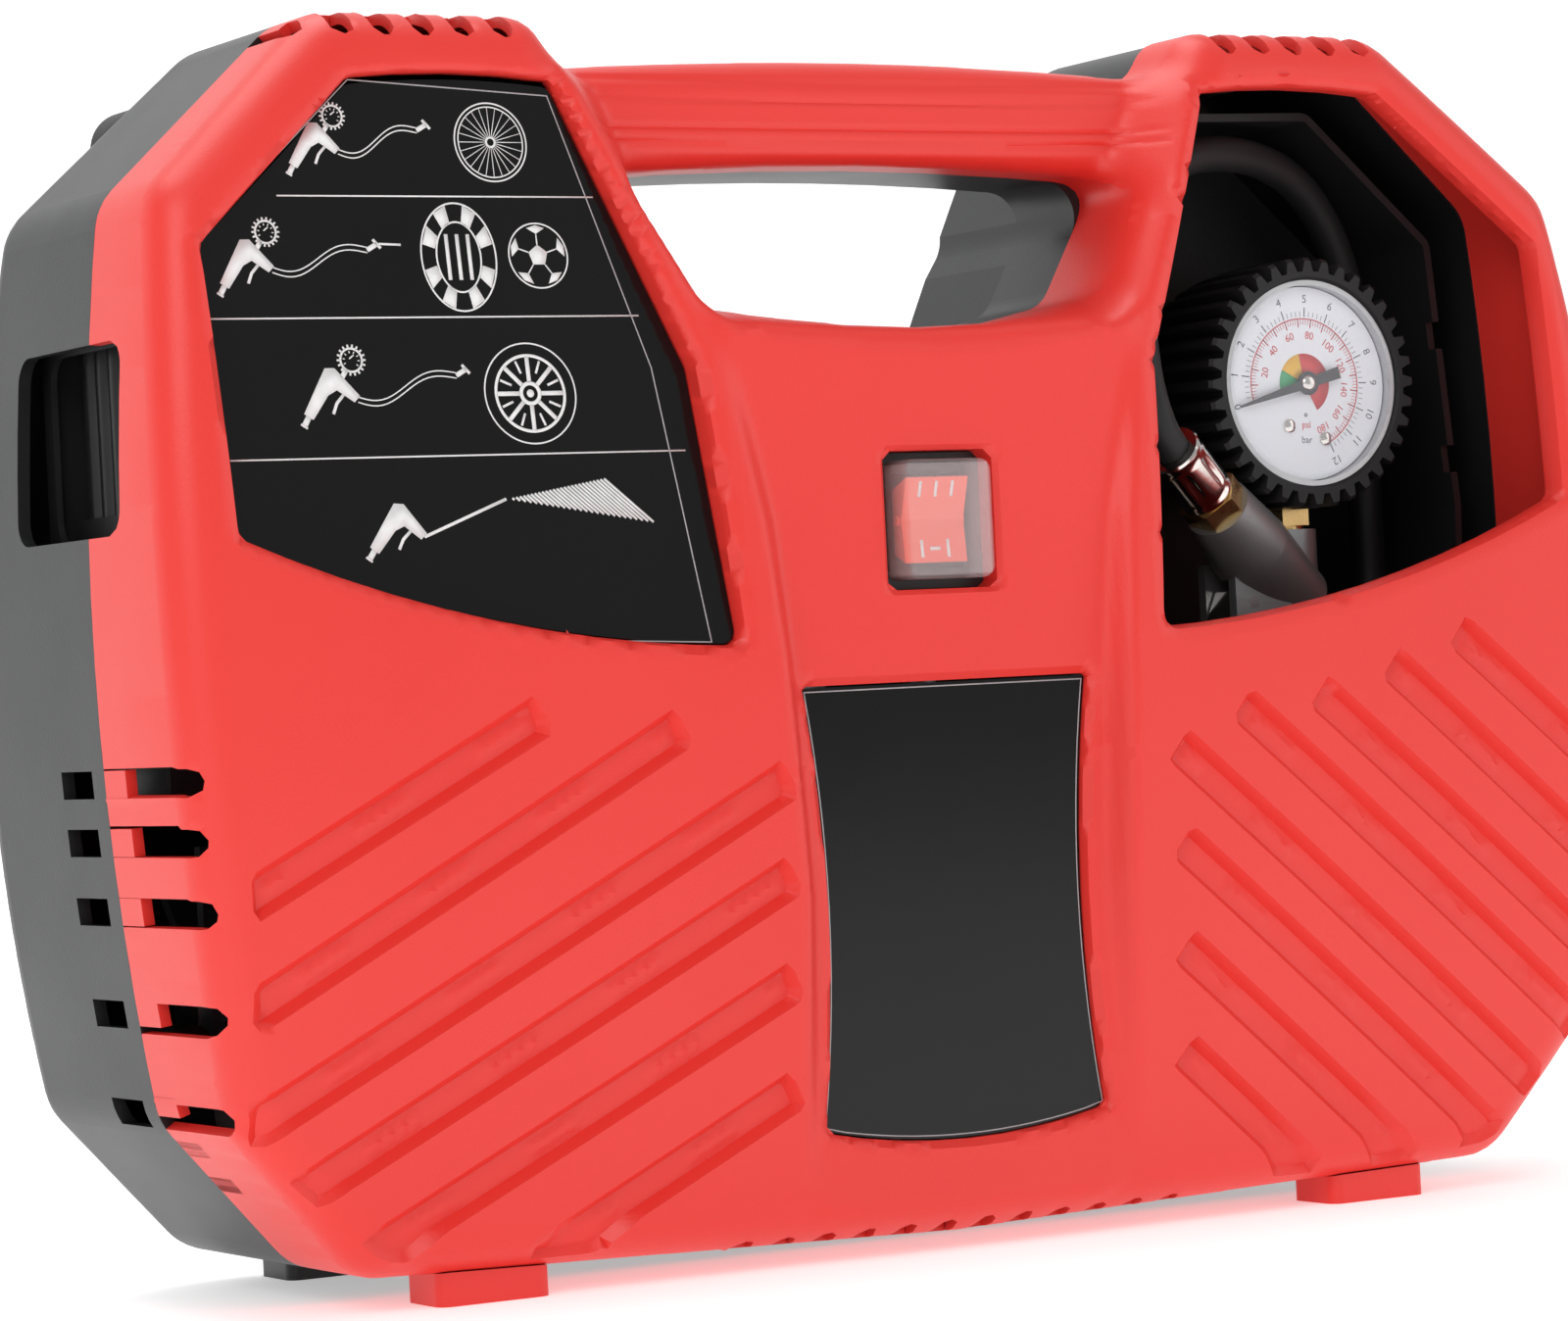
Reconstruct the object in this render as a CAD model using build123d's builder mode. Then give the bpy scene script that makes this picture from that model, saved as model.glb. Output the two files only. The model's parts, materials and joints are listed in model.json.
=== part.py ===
"""Carrying-case air compressor: an oil-free piston pump in a two-part plastic case.

Millimetres. X is the width, the front faces -Y and +Z is up. The origin is the middle of the
case at the level of its feet. The case is a red front shell and a dark rear shell that meet at
PARTING_Y. The right-hand lobe holds a tyre inflator in an open compartment, the left-hand lobe
holds the mains lead in a pocket, and the motor and the pump lie below.
"""
import os
from math import atan2, cos, degrees, radians, sin

from build123d import *

os.makedirs("parts", exist_ok=True)

# ---- driving dimensions -------------------------------------------------------------------
CASE_HALF = 197.0           # half the width of the case at its widest
CASE_TOP = 290.0            # top of the two lobes
CASE_FLOOR = 4.5            # underside of the case, the height of the feet
FRONT_BELLY = -62.0         # foremost line of the bulging front
REAR_BELLY = 62.0           # rearmost line of the back
PARTING_Y = -14.0           # plane where the two shells meet
FRONT_WALL = 4.0
REAR_WALL = 3.0
EDGE_ROUND = 10.0           # rounding of the case's outer edges
CORNER_ROUND = 15.0         # rounding of the outline's corners
REACH = 260.0               # longer than anything a cut has to pass through

HANDLE_FRONT, HANDLE_REAR = -31.0, 12.0
GRIP_TOP = 282.0
COLUMN_Y = -55.0            # flat front of the centre column
LABEL_Y = -52.0             # front of the centre panel
GROOVE_DEPTH = 2.4
GROOVE_WIDTH = 9.5

MOTOR_Y, MOTOR_Z = 8.0, 66.0
PUMP_X = -25.0              # axis of the cylinder
CRANK_THROW = 5.0
BORE_RADIUS = 21.1

GAUGE_X, GAUGE_Y, GAUGE_Z = 129.6, -26.0, 203.4     # middle of the boot's front
HOSE_RADIUS = 4.5
LEAD_RADIUS = 3.25

front_plane = Plane.XZ      # local x is X, local y is Z, and its normal is -Y


# ---- outlines shared by several pieces ------------------------------------------------------
def case_outline(inset):
    """Front view of the whole case, drawn in on every side by inset."""
    half, top = CASE_HALF, CASE_TOP
    with BuildSketch(Plane.XY) as outline:
        with BuildLine():
            arch = ThreePointArc((85, GRIP_TOP - 3), (0, GRIP_TOP), (-85, GRIP_TOP - 3))
            Polyline(arch @ 1, (-91, top), (-146, top), (-191, 248))
            ThreePointArc((-191, 248), (-half, 155), (-187, 44))
            Polyline((-187, 44), (-156, 8), (0, CASE_FLOOR - 0.5), (156, 8), (187, 44))
            ThreePointArc((187, 44), (half, 155), (191, 248))
            Polyline((191, 248), (146, top), (91, top), arch @ 0)
        make_face()
        corners = outline.vertices().filter_by(lambda v: abs(v.X) > 87)
        fillet(corners, CORNER_ROUND)
        fillet(outline.vertices().filter_by(lambda v: 84 < abs(v.X) < 86), 4)
        if inset:
            offset(amount=-inset, kind=Kind.INTERSECTION)
    return outline.sketch


def side_profile(inset):
    """Side view of the whole case: a bulging front and back that lean in towards the top."""
    with BuildSketch(Plane.XY) as profile:
        with BuildLine():
            front = ThreePointArc((-50, -12), (FRONT_BELLY, 105), (-37, 296))
            crown = Line(front @ 1, (38, 296))
            back = ThreePointArc(crown @ 1, (REAR_BELLY, 120), (52, -12))
            Line(back @ 1, front @ 0)
        make_face()
        if inset:
            offset(amount=-inset, kind=Kind.INTERSECTION)
    return profile.sketch


def case_blank(inset, rounding):
    """Solid with the outer shape of the closed case, drawn in by inset."""
    with BuildPart() as blank:
        with BuildSketch(front_plane.offset(-REACH / 2)):
            add(case_outline(inset))
        extrude(amount=REACH)
        with BuildSketch(Plane.YZ.offset(-REACH)):
            add(side_profile(inset))
        extrude(amount=2 * REACH, mode=Mode.INTERSECT)
        bulges = blank.faces().sort_by(Axis.Y)
        fillet(bulges[0].edges() + bulges[-1].edges(), rounding)
    return blank.part


def window_outline(grow):
    """Window of the right-hand lobe, made larger on every side by grow."""
    with BuildSketch(Plane.XY) as window:
        with BuildLine():
            inner = Polyline((58, 143.5), (63, 208), (90, 274))
            top = ThreePointArc(inner @ 1, (116, 275.5), (141, 274))
            outer = Polyline(top @ 1, (182, 236), (180, 171.5))
            ThreePointArc(outer @ 1, (122, 152), (58, 143.5))
        make_face()
        fillet(window.vertices(), 3.5)
        if grow:
            offset(amount=grow, kind=Kind.INTERSECTION)
    return window.sketch


def opening_outline(grow):
    """Handle opening, made larger on every side by grow."""
    with BuildSketch(Plane.XY) as opening:
        with BuildLine():
            roof = ThreePointArc((-74, 254), (0, 257), (74, 254))
            right = Line(roof @ 1, (57, 224))
            sill = ThreePointArc(right @ 1, (0, 216.5), (-57, 224))
            Line(sill @ 1, roof @ 0)
        make_face()
        fillet(opening.vertices(), 9)
        if grow:
            offset(amount=grow, kind=Kind.INTERSECTION)
    return opening.sketch


def relief_outline(grow):
    """Area between the lobes, where the handle is set back from them."""
    with BuildSketch(Plane.XY) as relief:
        with BuildLine():
            Polyline((-58, 219), (58, 219), (90, 310), (-90, 310), close=True)
        make_face()
        if grow:
            offset(amount=grow, kind=Kind.INTERSECTION)
    return relief.sketch


def label_outline(grow):
    """Waisted centre panel with an arched lower edge."""
    with BuildSketch(Plane.XY) as label:
        with BuildLine():
            top = Line((-39, 133), (39, 133))
            right = ThreePointArc(top @ 1, (35, 85), (38.5, 31))
            foot = ThreePointArc(right @ 1, (0, 26.5), (-38.5, 31))
            ThreePointArc(foot @ 1, (-35, 85), top @ 0)
        make_face()
        if grow:
            offset(amount=grow, kind=Kind.INTERSECTION)
    return label.sketch


def column_outline(grow):
    """Front of the centre column, from the centre panel up to the handle opening."""
    with BuildSketch(Plane.XY) as column:
        with BuildLine():
            Polyline((-42, 20), (42, 20), (40, 85), (43, 140), (46, 172), (58, 232), (-58, 232),
                     (-46, 172), (-43, 140), (-40, 85), close=True)
        make_face()
        if grow:
            offset(amount=grow, kind=Kind.INTERSECTION)
    return column.sketch


# ---- front shell ------------------------------------------------------------------------------
# The pictogram panel lies in a shallow recess whose floor leans back with the front.
LEAN = 8.0
PANEL_FLOOR_Y = -56.5
panel_plane = Plane(origin=(0, PANEL_FLOOR_Y, 143.5), x_dir=(1, 0, 0),
                    z_dir=(0, -cos(radians(LEAN)), sin(radians(LEAN))))
SWITCH_Z = 171.0
SWITCH_RECESS = (30.0, 32.5)
SWITCH_FLOOR_Y = -46.0
VENT_HEIGHT = 6.2
VENT_BACK_Y = -26.0
LEFT_VENTS = ((119.5, -190), (106.5, -189.5), (91, -188), (68, -186), (45.5, -184), (25.5, -177),
              (10.5, -162))
LEFT_GROOVES = (((-112, 129.5), (-186, 92)), ((-77, 125), (-186, 68)), ((-50, 112), (-184, 44)),
                ((-50, 90), (-180, 25)), ((-50, 66), (-168, 8)), ((-50, 41), (-128, 2)))
RIGHT_GROOVES = (((145, 138), (205, 88)), ((124, 131), (205, 63)), ((102, 125), (205, 39)),
                 ((79, 123), (205, 17)), ((60, 114), (180, 13)), ((60, 91), (160, 7)),
                 ((60, 66), (130, 7)), ((60, 41), (100, 7)))
GROOVE_FIELD = ((-184, 150), (-182, 42), (-152, 14), (-120, 11), (120, 11), (152, 14), (180, 42),
                (186, 150))
# screw towers: x, z and the y at which the screw's head sits in the back
SCREW_SPOTS = ((-178, 60, 50), (178, 50, 50), (-120, 283, 33), (118, 283, 33), (-48, 198, 50),
               (48, 198, 50), (40, 24, 50), (-158, 22, 50))
TOWER_RADIUS, SCREW_RADIUS, SCREW_TIP_Y = 5.0, 1.6, -28.0
TOP_VENTS = [100 + 10 * index for index in range(6)]
BASE_VENTS = [-58.5 + 10.7 * index for index in range(12)]

with BuildPart() as groove_tool:
    with BuildSketch(front_plane.offset(20)):
        for start, end in LEFT_GROOVES + RIGHT_GROOVES:
            run, rise = end[0] - start[0], end[1] - start[1]
            middle = ((start[0] + end[0]) / 2, (start[1] + end[1]) / 2)
            with Locations(Location((*middle, 0), (0, 0, degrees(atan2(rise, run))))):
                Rectangle((run * run + rise * rise) ** 0.5, GROOVE_WIDTH)
        Polygon(*GROOVE_FIELD, align=None, mode=Mode.INTERSECT)
    extrude(amount=60)
    add(case_blank(GROOVE_DEPTH, EDGE_ROUND), mode=Mode.SUBTRACT)

with BuildPart() as pocket_mouth:
    with BuildSketch(Plane.YZ.offset(-REACH)):
        with Locations((-2, 195.5)):
            RectangleRounded(60, 43, 6)
    extrude(amount=REACH - 150)

with BuildPart() as front_shell:
    add(case_blank(0, EDGE_ROUND))
    # the handle is set back between the lobes, and the centre column is a flat, shallow recess
    with BuildSketch(front_plane.offset(-HANDLE_FRONT)):
        add(relief_outline(0))
    extrude(amount=REACH, mode=Mode.SUBTRACT)
    with BuildSketch(front_plane.offset(-COLUMN_Y)):
        add(column_outline(0))
    extrude(amount=REACH, mode=Mode.SUBTRACT)
    with BuildSketch(front_plane.offset(-REACH)):
        add(opening_outline(0))
    extrude(amount=2 * REACH, mode=Mode.SUBTRACT)
    add(groove_tool.part, mode=Mode.SUBTRACT)
    # hollow inside, with walls left round the opening, behind the recesses and the handle
    with BuildPart(mode=Mode.SUBTRACT):
        add(case_blank(FRONT_WALL, EDGE_ROUND - 4))
        with BuildSketch(front_plane.offset(-REACH)):
            add(opening_outline(FRONT_WALL))
        extrude(amount=2 * REACH, mode=Mode.SUBTRACT)
        for depth_y, area in ((HANDLE_FRONT, relief_outline(FRONT_WALL)),
                              (COLUMN_Y, column_outline(FRONT_WALL)),
                              (LABEL_Y + 1, label_outline(FRONT_WALL))):
            with BuildSketch(front_plane.offset(-depth_y - FRONT_WALL)):
                add(area)
            extrude(amount=REACH, mode=Mode.SUBTRACT)
        with BuildSketch(panel_plane.offset(-FRONT_WALL)):
            with BuildSketch(mode=Mode.PRIVATE) as area:
                add(window_outline(FRONT_WALL))
            add(mirror(area.sketch.moved(Location((0, -143.5, 0))), about=Plane.YZ))
        extrude(amount=REACH, mode=Mode.SUBTRACT)
        with Locations((0, SWITCH_FLOOR_Y + FRONT_WALL / 2 - 20, SWITCH_Z)):
            Box(SWITCH_RECESS[0] + 8, 40 + FRONT_WALL, SWITCH_RECESS[1] + 8, mode=Mode.SUBTRACT)
        for tower_x, tower_z, _ in SCREW_SPOTS:
            with Locations(Location((tower_x, -40, tower_z), (90, 0, 0))):
                Cylinder(TOWER_RADIUS, 60, mode=Mode.SUBTRACT)
    # recesses for the two panels and the switch
    with BuildSketch(front_plane.offset(-LABEL_Y - 1)):
        add(label_outline(0.4))
    extrude(amount=REACH, mode=Mode.SUBTRACT)
    with BuildSketch(panel_plane):
        with BuildSketch(mode=Mode.PRIVATE) as area:
            add(window_outline(0))
        add(mirror(area.sketch.moved(Location((0, -143.5, 0))), about=Plane.YZ))
    extrude(amount=REACH, mode=Mode.SUBTRACT)
    with Locations((0, SWITCH_FLOOR_Y - 20, SWITCH_Z)):
        Box(SWITCH_RECESS[0], 40, SWITCH_RECESS[1], mode=Mode.SUBTRACT)
    with Locations((0, SWITCH_FLOOR_Y, SWITCH_Z)):
        Box(22.4, 30, 28.4, mode=Mode.SUBTRACT)
    # the compartment's window, the lead pocket's mouth and the vents
    with BuildSketch(front_plane.offset(-REACH)):
        add(window_outline(0))
    extrude(amount=2 * REACH, mode=Mode.SUBTRACT)
    add(pocket_mouth.part, mode=Mode.SUBTRACT)
    for vent_z, front_x in LEFT_VENTS:
        with Locations((front_x - 20, VENT_BACK_Y - 25, vent_z)):
            Box(40, 50, VENT_HEIGHT, mode=Mode.SUBTRACT)
    for vent_x in TOP_VENTS:
        with Locations((-vent_x, -40, CASE_TOP), (vent_x, -40, CASE_TOP)):
            Box(5.6, 18, 15, mode=Mode.SUBTRACT)
    for vent_x in BASE_VENTS:
        with Locations((vent_x, -50, CASE_FLOOR)):
            Box(5.6, 14, 9, mode=Mode.SUBTRACT)
    for tower_x, tower_z, _ in SCREW_SPOTS:
        with Locations(Location((tower_x, 0, tower_z), (90, 0, 0))):
            Cylinder(SCREW_RADIUS, -2 * SCREW_TIP_Y, mode=Mode.SUBTRACT)
    # two pairs of fine lines along the grip
    for line_z in (274.5, 271.5, 265, 262):
        with Locations((0, HANDLE_FRONT, line_z)):
            Box(164, 1.6, 1.4, mode=Mode.SUBTRACT)
    split(bisect_by=Plane.XZ.offset(-PARTING_Y), keep=Keep.TOP)
front_shell.part.label = "front_shell"
export_step(front_shell.part, "parts/front_shell.step")

# ---- rear shell and what is fixed to the case ---------------------------------------------------
with BuildPart() as rear_shell:
    add(case_blank(0, EDGE_ROUND))
    with BuildSketch(front_plane.offset(-HANDLE_REAR)):
        add(relief_outline(0))
    extrude(amount=-REACH, mode=Mode.SUBTRACT)
    with BuildSketch(front_plane.offset(-REACH)):
        add(opening_outline(0))
    extrude(amount=2 * REACH, mode=Mode.SUBTRACT)
    with BuildPart(mode=Mode.SUBTRACT):
        add(case_blank(REAR_WALL, EDGE_ROUND - 3))
        with BuildSketch(front_plane.offset(-REACH)):
            add(opening_outline(REAR_WALL))
        extrude(amount=2 * REACH, mode=Mode.SUBTRACT)
        with BuildSketch(front_plane.offset(-HANDLE_REAR + REAR_WALL)):
            add(relief_outline(REAR_WALL))
        extrude(amount=-REACH, mode=Mode.SUBTRACT)
        # screw towers stand in the hollow
        for tower_x, tower_z, _ in SCREW_SPOTS:
            with Locations(Location((tower_x, PARTING_Y + 45, tower_z), (90, 0, 0))):
                Cylinder(TOWER_RADIUS, 100, mode=Mode.SUBTRACT)
    add(pocket_mouth.part, mode=Mode.SUBTRACT)
    for vent_z, front_x in LEFT_VENTS[:5]:
        with Locations((-190, 2, vent_z)):
            Box(30, 18, VENT_HEIGHT, mode=Mode.SUBTRACT)
    for vent_x in range(-48, 49, 12):
        with Locations((vent_x, 60, 60)):
            Box(5, 40, 48, mode=Mode.SUBTRACT)
    for tower_x, tower_z, head_y in SCREW_SPOTS:
        with Locations(Location((tower_x, head_y + 40, tower_z), (90, 0, 0))):
            Cylinder(3.8, 80, mode=Mode.SUBTRACT)
        with Locations(Location((tower_x, 0, tower_z), (90, 0, 0))):
            Cylinder(SCREW_RADIUS, REACH, mode=Mode.SUBTRACT)
    split(bisect_by=Plane.XZ.offset(-PARTING_Y), keep=Keep.BOTTOM)
rear_shell.part.label = "rear_shell"
export_step(rear_shell.part, "parts/rear_shell.step")

with BuildPart() as case_screws:
    for tower_x, tower_z, head_y in SCREW_SPOTS:
        with Locations(Location((tower_x, head_y + 1.4, tower_z), (-90, 0, 0))):
            Cylinder(3.6, 2.8)
        with Locations(Location((tower_x, (head_y + SCREW_TIP_Y) / 2, tower_z), (-90, 0, 0))):
            Cylinder(SCREW_RADIUS, head_y - SCREW_TIP_Y)
case_screws.part.label = "case_screws"
export_step(case_screws.part, "parts/case_screws.step")

FOOT_X = 122.0
with BuildPart() as front_feet:
    with Locations((-FOOT_X, -38, CASE_FLOOR), (FOOT_X, -38, CASE_FLOOR)):
        Box(28, 18, 2 * CASE_FLOOR)
    fillet(front_feet.edges().filter_by(Axis.Z), 3)
    add(case_blank(0, EDGE_ROUND), mode=Mode.SUBTRACT)
front_feet.part.label = "front_feet"
export_step(front_feet.part, "parts/front_feet.step")

with BuildPart() as rear_feet:
    with Locations((-FOOT_X, 42, CASE_FLOOR), (FOOT_X, 42, CASE_FLOOR)):
        Box(28, 18, 2 * CASE_FLOOR)
    fillet(rear_feet.edges().filter_by(Axis.Z), 3)
    add(case_blank(0, EDGE_ROUND), mode=Mode.SUBTRACT)
rear_feet.part.label = "rear_feet"
export_step(rear_feet.part, "parts/rear_feet.step")

with BuildPart() as pictogram_panel:
    with BuildSketch(panel_plane):
        with BuildSketch(mode=Mode.PRIVATE) as area:
            add(window_outline(-0.4))
        add(mirror(area.sketch.moved(Location((0, -143.5, 0))), about=Plane.YZ))
    extrude(amount=1.0)
pictogram_panel.part.label = "pictogram_panel"
export_step(pictogram_panel.part, "parts/pictogram_panel.step")

with BuildPart() as centre_panel:
    with BuildSketch(front_plane.offset(-LABEL_Y - 1)):
        add(label_outline(0))
    extrude(amount=1.0)
centre_panel.part.label = "centre_panel"
export_step(centre_panel.part, "parts/centre_panel.step")

# domed rubber bumpers on the back, one behind each cheek
BUMPER_SPOTS = ((-156, 268), (156, 268))
BUMPER_TIP_Y = 54.0
with BuildPart() as rear_bumpers:
    for bumper_x, bumper_z in BUMPER_SPOTS:
        with Locations(Location((bumper_x, BUMPER_TIP_Y - 9, bumper_z), (-90, 0, 0))):
            Cylinder(9, 18)
    fillet(rear_bumpers.faces().group_by(Axis.Y)[-1].edges(), 4)
    add(case_blank(0, EDGE_ROUND), mode=Mode.SUBTRACT)
rear_bumpers.part.label = "rear_bumpers"
export_step(rear_bumpers.part, "parts/rear_bumpers.step")

# ---- mains switch: bezel, rocker and clear splash cap --------------------------------------------
with BuildPart() as switch_body:
    with Locations((0, SWITCH_FLOOR_Y - 1, SWITCH_Z)):
        Box(SWITCH_RECESS[0] - 0.6, 2, SWITCH_RECESS[1] - 0.6)
    with Locations((0, SWITCH_FLOOR_Y + 9, SWITCH_Z)):
        Box(22, 18, 28)
    with Locations((0, SWITCH_FLOOR_Y - 2, SWITCH_Z)):
        Box(18.6, 20, 22.6, mode=Mode.SUBTRACT)
switch_body.part.label = "switch_body"
export_step(switch_body.part, "parts/switch_body.step")

with BuildPart() as switch_rocker:
    with BuildSketch(Plane.YZ.offset(-8.5)):
        with BuildLine():
            Polyline((SWITCH_FLOOR_Y + 5, SWITCH_Z - 5), (SWITCH_FLOOR_Y - 5.4, SWITCH_Z - 10),
                     (SWITCH_FLOOR_Y - 4.4, SWITCH_Z), (SWITCH_FLOOR_Y - 7.4, SWITCH_Z + 10),
                     (SWITCH_FLOOR_Y + 5, SWITCH_Z + 5), close=True)
        make_face()
    extrude(amount=17)
    with Locations(Location((0, SWITCH_FLOOR_Y - 2.5, SWITCH_Z), (0, 90, 0))):
        Cylinder(1.2, 18.4)
switch_rocker.part.label = "switch_rocker"
export_step(switch_rocker.part, "parts/switch_rocker.step")

with BuildPart() as switch_cap:
    with Locations((0, SWITCH_FLOOR_Y - 7.6, SWITCH_Z)):
        Box(24, 11.2, 28)
    fillet(switch_cap.edges().filter_by(Axis.Y), 3)
    fillet(switch_cap.faces().sort_by(Axis.Y)[0].edges(), 2)
    with Locations((0, SWITCH_FLOOR_Y - 6.6, SWITCH_Z)):
        Box(22, 11.2, 26, mode=Mode.SUBTRACT)
switch_cap.part.label = "switch_cap"
export_step(switch_cap.part, "parts/switch_cap.step")

with BuildPart() as switch_terminals:
    with Locations(*[(x, SWITCH_FLOOR_Y + 22, SWITCH_Z + z) for x in (-6, 6) for z in (-8, 8)]):
        Box(6.3, 8, 0.8)
switch_terminals.part.label = "switch_terminals"
export_step(switch_terminals.part, "parts/switch_terminals.step")

# ---- open compartment in the right-hand lobe -------------------------------------------------------
TRAY_BACK_Y = 34.0
TRAY_WALL = 2.0
COUPLER_Z = 118.0
with BuildSketch(Plane.XY) as tray_outline:
    Polygon((67, 208), (93, 272), (141, 273), (178, 240), (184, 172), (181, 62), (70, 62),
            (60, 143), align=None)
    fillet(tray_outline.vertices(), 5)

with BuildPart() as storage_tray:
    with BuildSketch(front_plane.offset(-TRAY_BACK_Y)):
        add(tray_outline.sketch)
    extrude(amount=TRAY_BACK_Y - PARTING_Y - 1)
    with BuildSketch(front_plane.offset(-TRAY_BACK_Y + TRAY_WALL)):
        add(tray_outline.sketch)
        offset(amount=-TRAY_WALL, kind=Kind.INTERSECTION, mode=Mode.REPLACE)
    extrude(amount=100, mode=Mode.SUBTRACT)
    # notches along the tray's open edge
    for notch_z in (90, 128, 158, 184, 216):
        with Locations((183, PARTING_Y, notch_z)):
            Box(12, 8, 7, mode=Mode.SUBTRACT)
    with Locations(Location((66, MOTOR_Y, COUPLER_Z), (0, 90, 0))):
        Cylinder(6.2, 20, mode=Mode.SUBTRACT)
storage_tray.part.label = "storage_tray"
export_step(storage_tray.part, "parts/storage_tray.step")

with BuildPart() as outlet_coupler:
    with Locations(Location((61, MOTOR_Y, COUPLER_Z), (0, 90, 0))):
        Cylinder(6, 14)
    with Locations(Location((70, MOTOR_Y, COUPLER_Z), (0, 90, 0))):
        Cylinder(9, 5)
    with Locations(Location((84, MOTOR_Y, COUPLER_Z), (0, 90, 0))):
        Cylinder(7.5, 24)
    with Locations(Location((84, MOTOR_Y, COUPLER_Z), (0, 90, 0))):
        Cylinder(3.9, 80, mode=Mode.SUBTRACT)
outlet_coupler.part.label = "outlet_coupler"
export_step(outlet_coupler.part, "parts/outlet_coupler.step")

with BuildPart() as coupler_sleeve:
    with Locations(Location((86, MOTOR_Y, COUPLER_Z), (0, 90, 0))):
        Cylinder(10.5, 16)
    fillet(coupler_sleeve.edges(), 1)
    with Locations(Location((86, MOTOR_Y, COUPLER_Z), (0, 90, 0))):
        Cylinder(7.56, 16, mode=Mode.SUBTRACT)
coupler_sleeve.part.label = "coupler_sleeve"
export_step(coupler_sleeve.part, "parts/coupler_sleeve.step")

# ---- tyre inflator: pistol body, gauge, hose and chuck ----------------------------------------------
NOZZLE = Vector(101, -22, 173)               # end of the barrel, where the hose nut sits
BARREL_END = Vector(135, -6, 147)
GRIP_TOP_POINT, GRIP_FOOT = Vector(133, -8, 143), Vector(141, -8, 84)
barrel_dir = (BARREL_END - NOZZLE).normalized()
barrel_plane = Plane(origin=NOZZLE, x_dir=(0, 1, 0), z_dir=barrel_dir)
TRIGGER_X, TRIGGER_Y, TRIGGER_Z = 113.0, -11.0, 149.0     # hinge of the trigger
STEM_RADIUS, STEM_Y = 6.0, -8.5
GAUGE_BACK_Y = 12.0

with BuildPart() as gun_body:
    with BuildSketch(barrel_plane):
        Circle(8.5)
    with BuildSketch(barrel_plane.offset(18)):
        Circle(10.5)
    loft()
    with BuildSketch(barrel_plane.offset(18)):
        Circle(10.5)
    extrude(amount=24)
    with BuildSketch(Plane.XY.offset(GRIP_FOOT.Z)):
        with Locations((GRIP_FOOT.X, GRIP_FOOT.Y)):
            RectangleRounded(23, 20, 8)
    with BuildSketch(Plane.XY.offset(GRIP_TOP_POINT.Z)):
        with Locations((GRIP_TOP_POINT.X, GRIP_TOP_POINT.Y)):
            RectangleRounded(26, 20, 8)
    loft()
    # cheeks that hold the trigger's pin
    with Locations((TRIGGER_X + 3, TRIGGER_Y - 6.6, TRIGGER_Z + 3),
                   (TRIGGER_X + 3, TRIGGER_Y + 6.6, TRIGGER_Z + 3)):
        Box(17, 3, 14)
    with Locations((GAUGE_X, STEM_Y, 160)):
        Cylinder(STEM_RADIUS + 3, 14)
    with Locations((GAUGE_X, STEM_Y, 166)):
        Cylinder(STEM_RADIUS, 12, mode=Mode.SUBTRACT)
    with BuildSketch(barrel_plane):
        Circle(5)
    extrude(amount=14, mode=Mode.SUBTRACT)
    with Locations(Location((TRIGGER_X, TRIGGER_Y, TRIGGER_Z), (90, 0, 0))):
        Cylinder(1.5, 40, mode=Mode.SUBTRACT)
    with Locations((TRIGGER_X, TRIGGER_Y, TRIGGER_Z - 3)):
        Box(17, 10.2, 18, mode=Mode.SUBTRACT)
    with Locations((GRIP_FOOT.X, GRIP_FOOT.Y, GRIP_FOOT.Z)):
        Cylinder(5, 20, mode=Mode.SUBTRACT)
gun_body.part.label = "gun_body"
export_step(gun_body.part, "parts/gun_body.step")

with BuildPart() as trigger_pin:
    with Locations(Location((TRIGGER_X, TRIGGER_Y, TRIGGER_Z), (90, 0, 0))):
        Cylinder(1.5, 16.2)
trigger_pin.part.label = "trigger_pin"
export_step(trigger_pin.part, "parts/trigger_pin.step")

with BuildPart() as gun_trigger:
    with BuildSketch(front_plane.offset(-TRIGGER_Y - 4.5)):
        with BuildLine():
            Polyline((TRIGGER_X - 3, TRIGGER_Z + 3), (TRIGGER_X - 6, TRIGGER_Z - 4),
                     (TRIGGER_X - 4, TRIGGER_Z - 23), (TRIGGER_X, TRIGGER_Z - 35),
                     (TRIGGER_X - 6, TRIGGER_Z - 46), (TRIGGER_X - 2.5, TRIGGER_Z - 48),
                     (TRIGGER_X + 4, TRIGGER_Z - 35), (TRIGGER_X + 1, TRIGGER_Z - 22),
                     (TRIGGER_X + 3, TRIGGER_Z - 4), (TRIGGER_X + 3, TRIGGER_Z + 3), close=True)
        make_face()
    extrude(amount=9)
    with Locations(Location((TRIGGER_X, TRIGGER_Y, TRIGGER_Z), (90, 0, 0))):
        Cylinder(1.55, 20, mode=Mode.SUBTRACT)
gun_trigger.part.label = "gun_trigger"
export_step(gun_trigger.part, "parts/gun_trigger.step")

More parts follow.
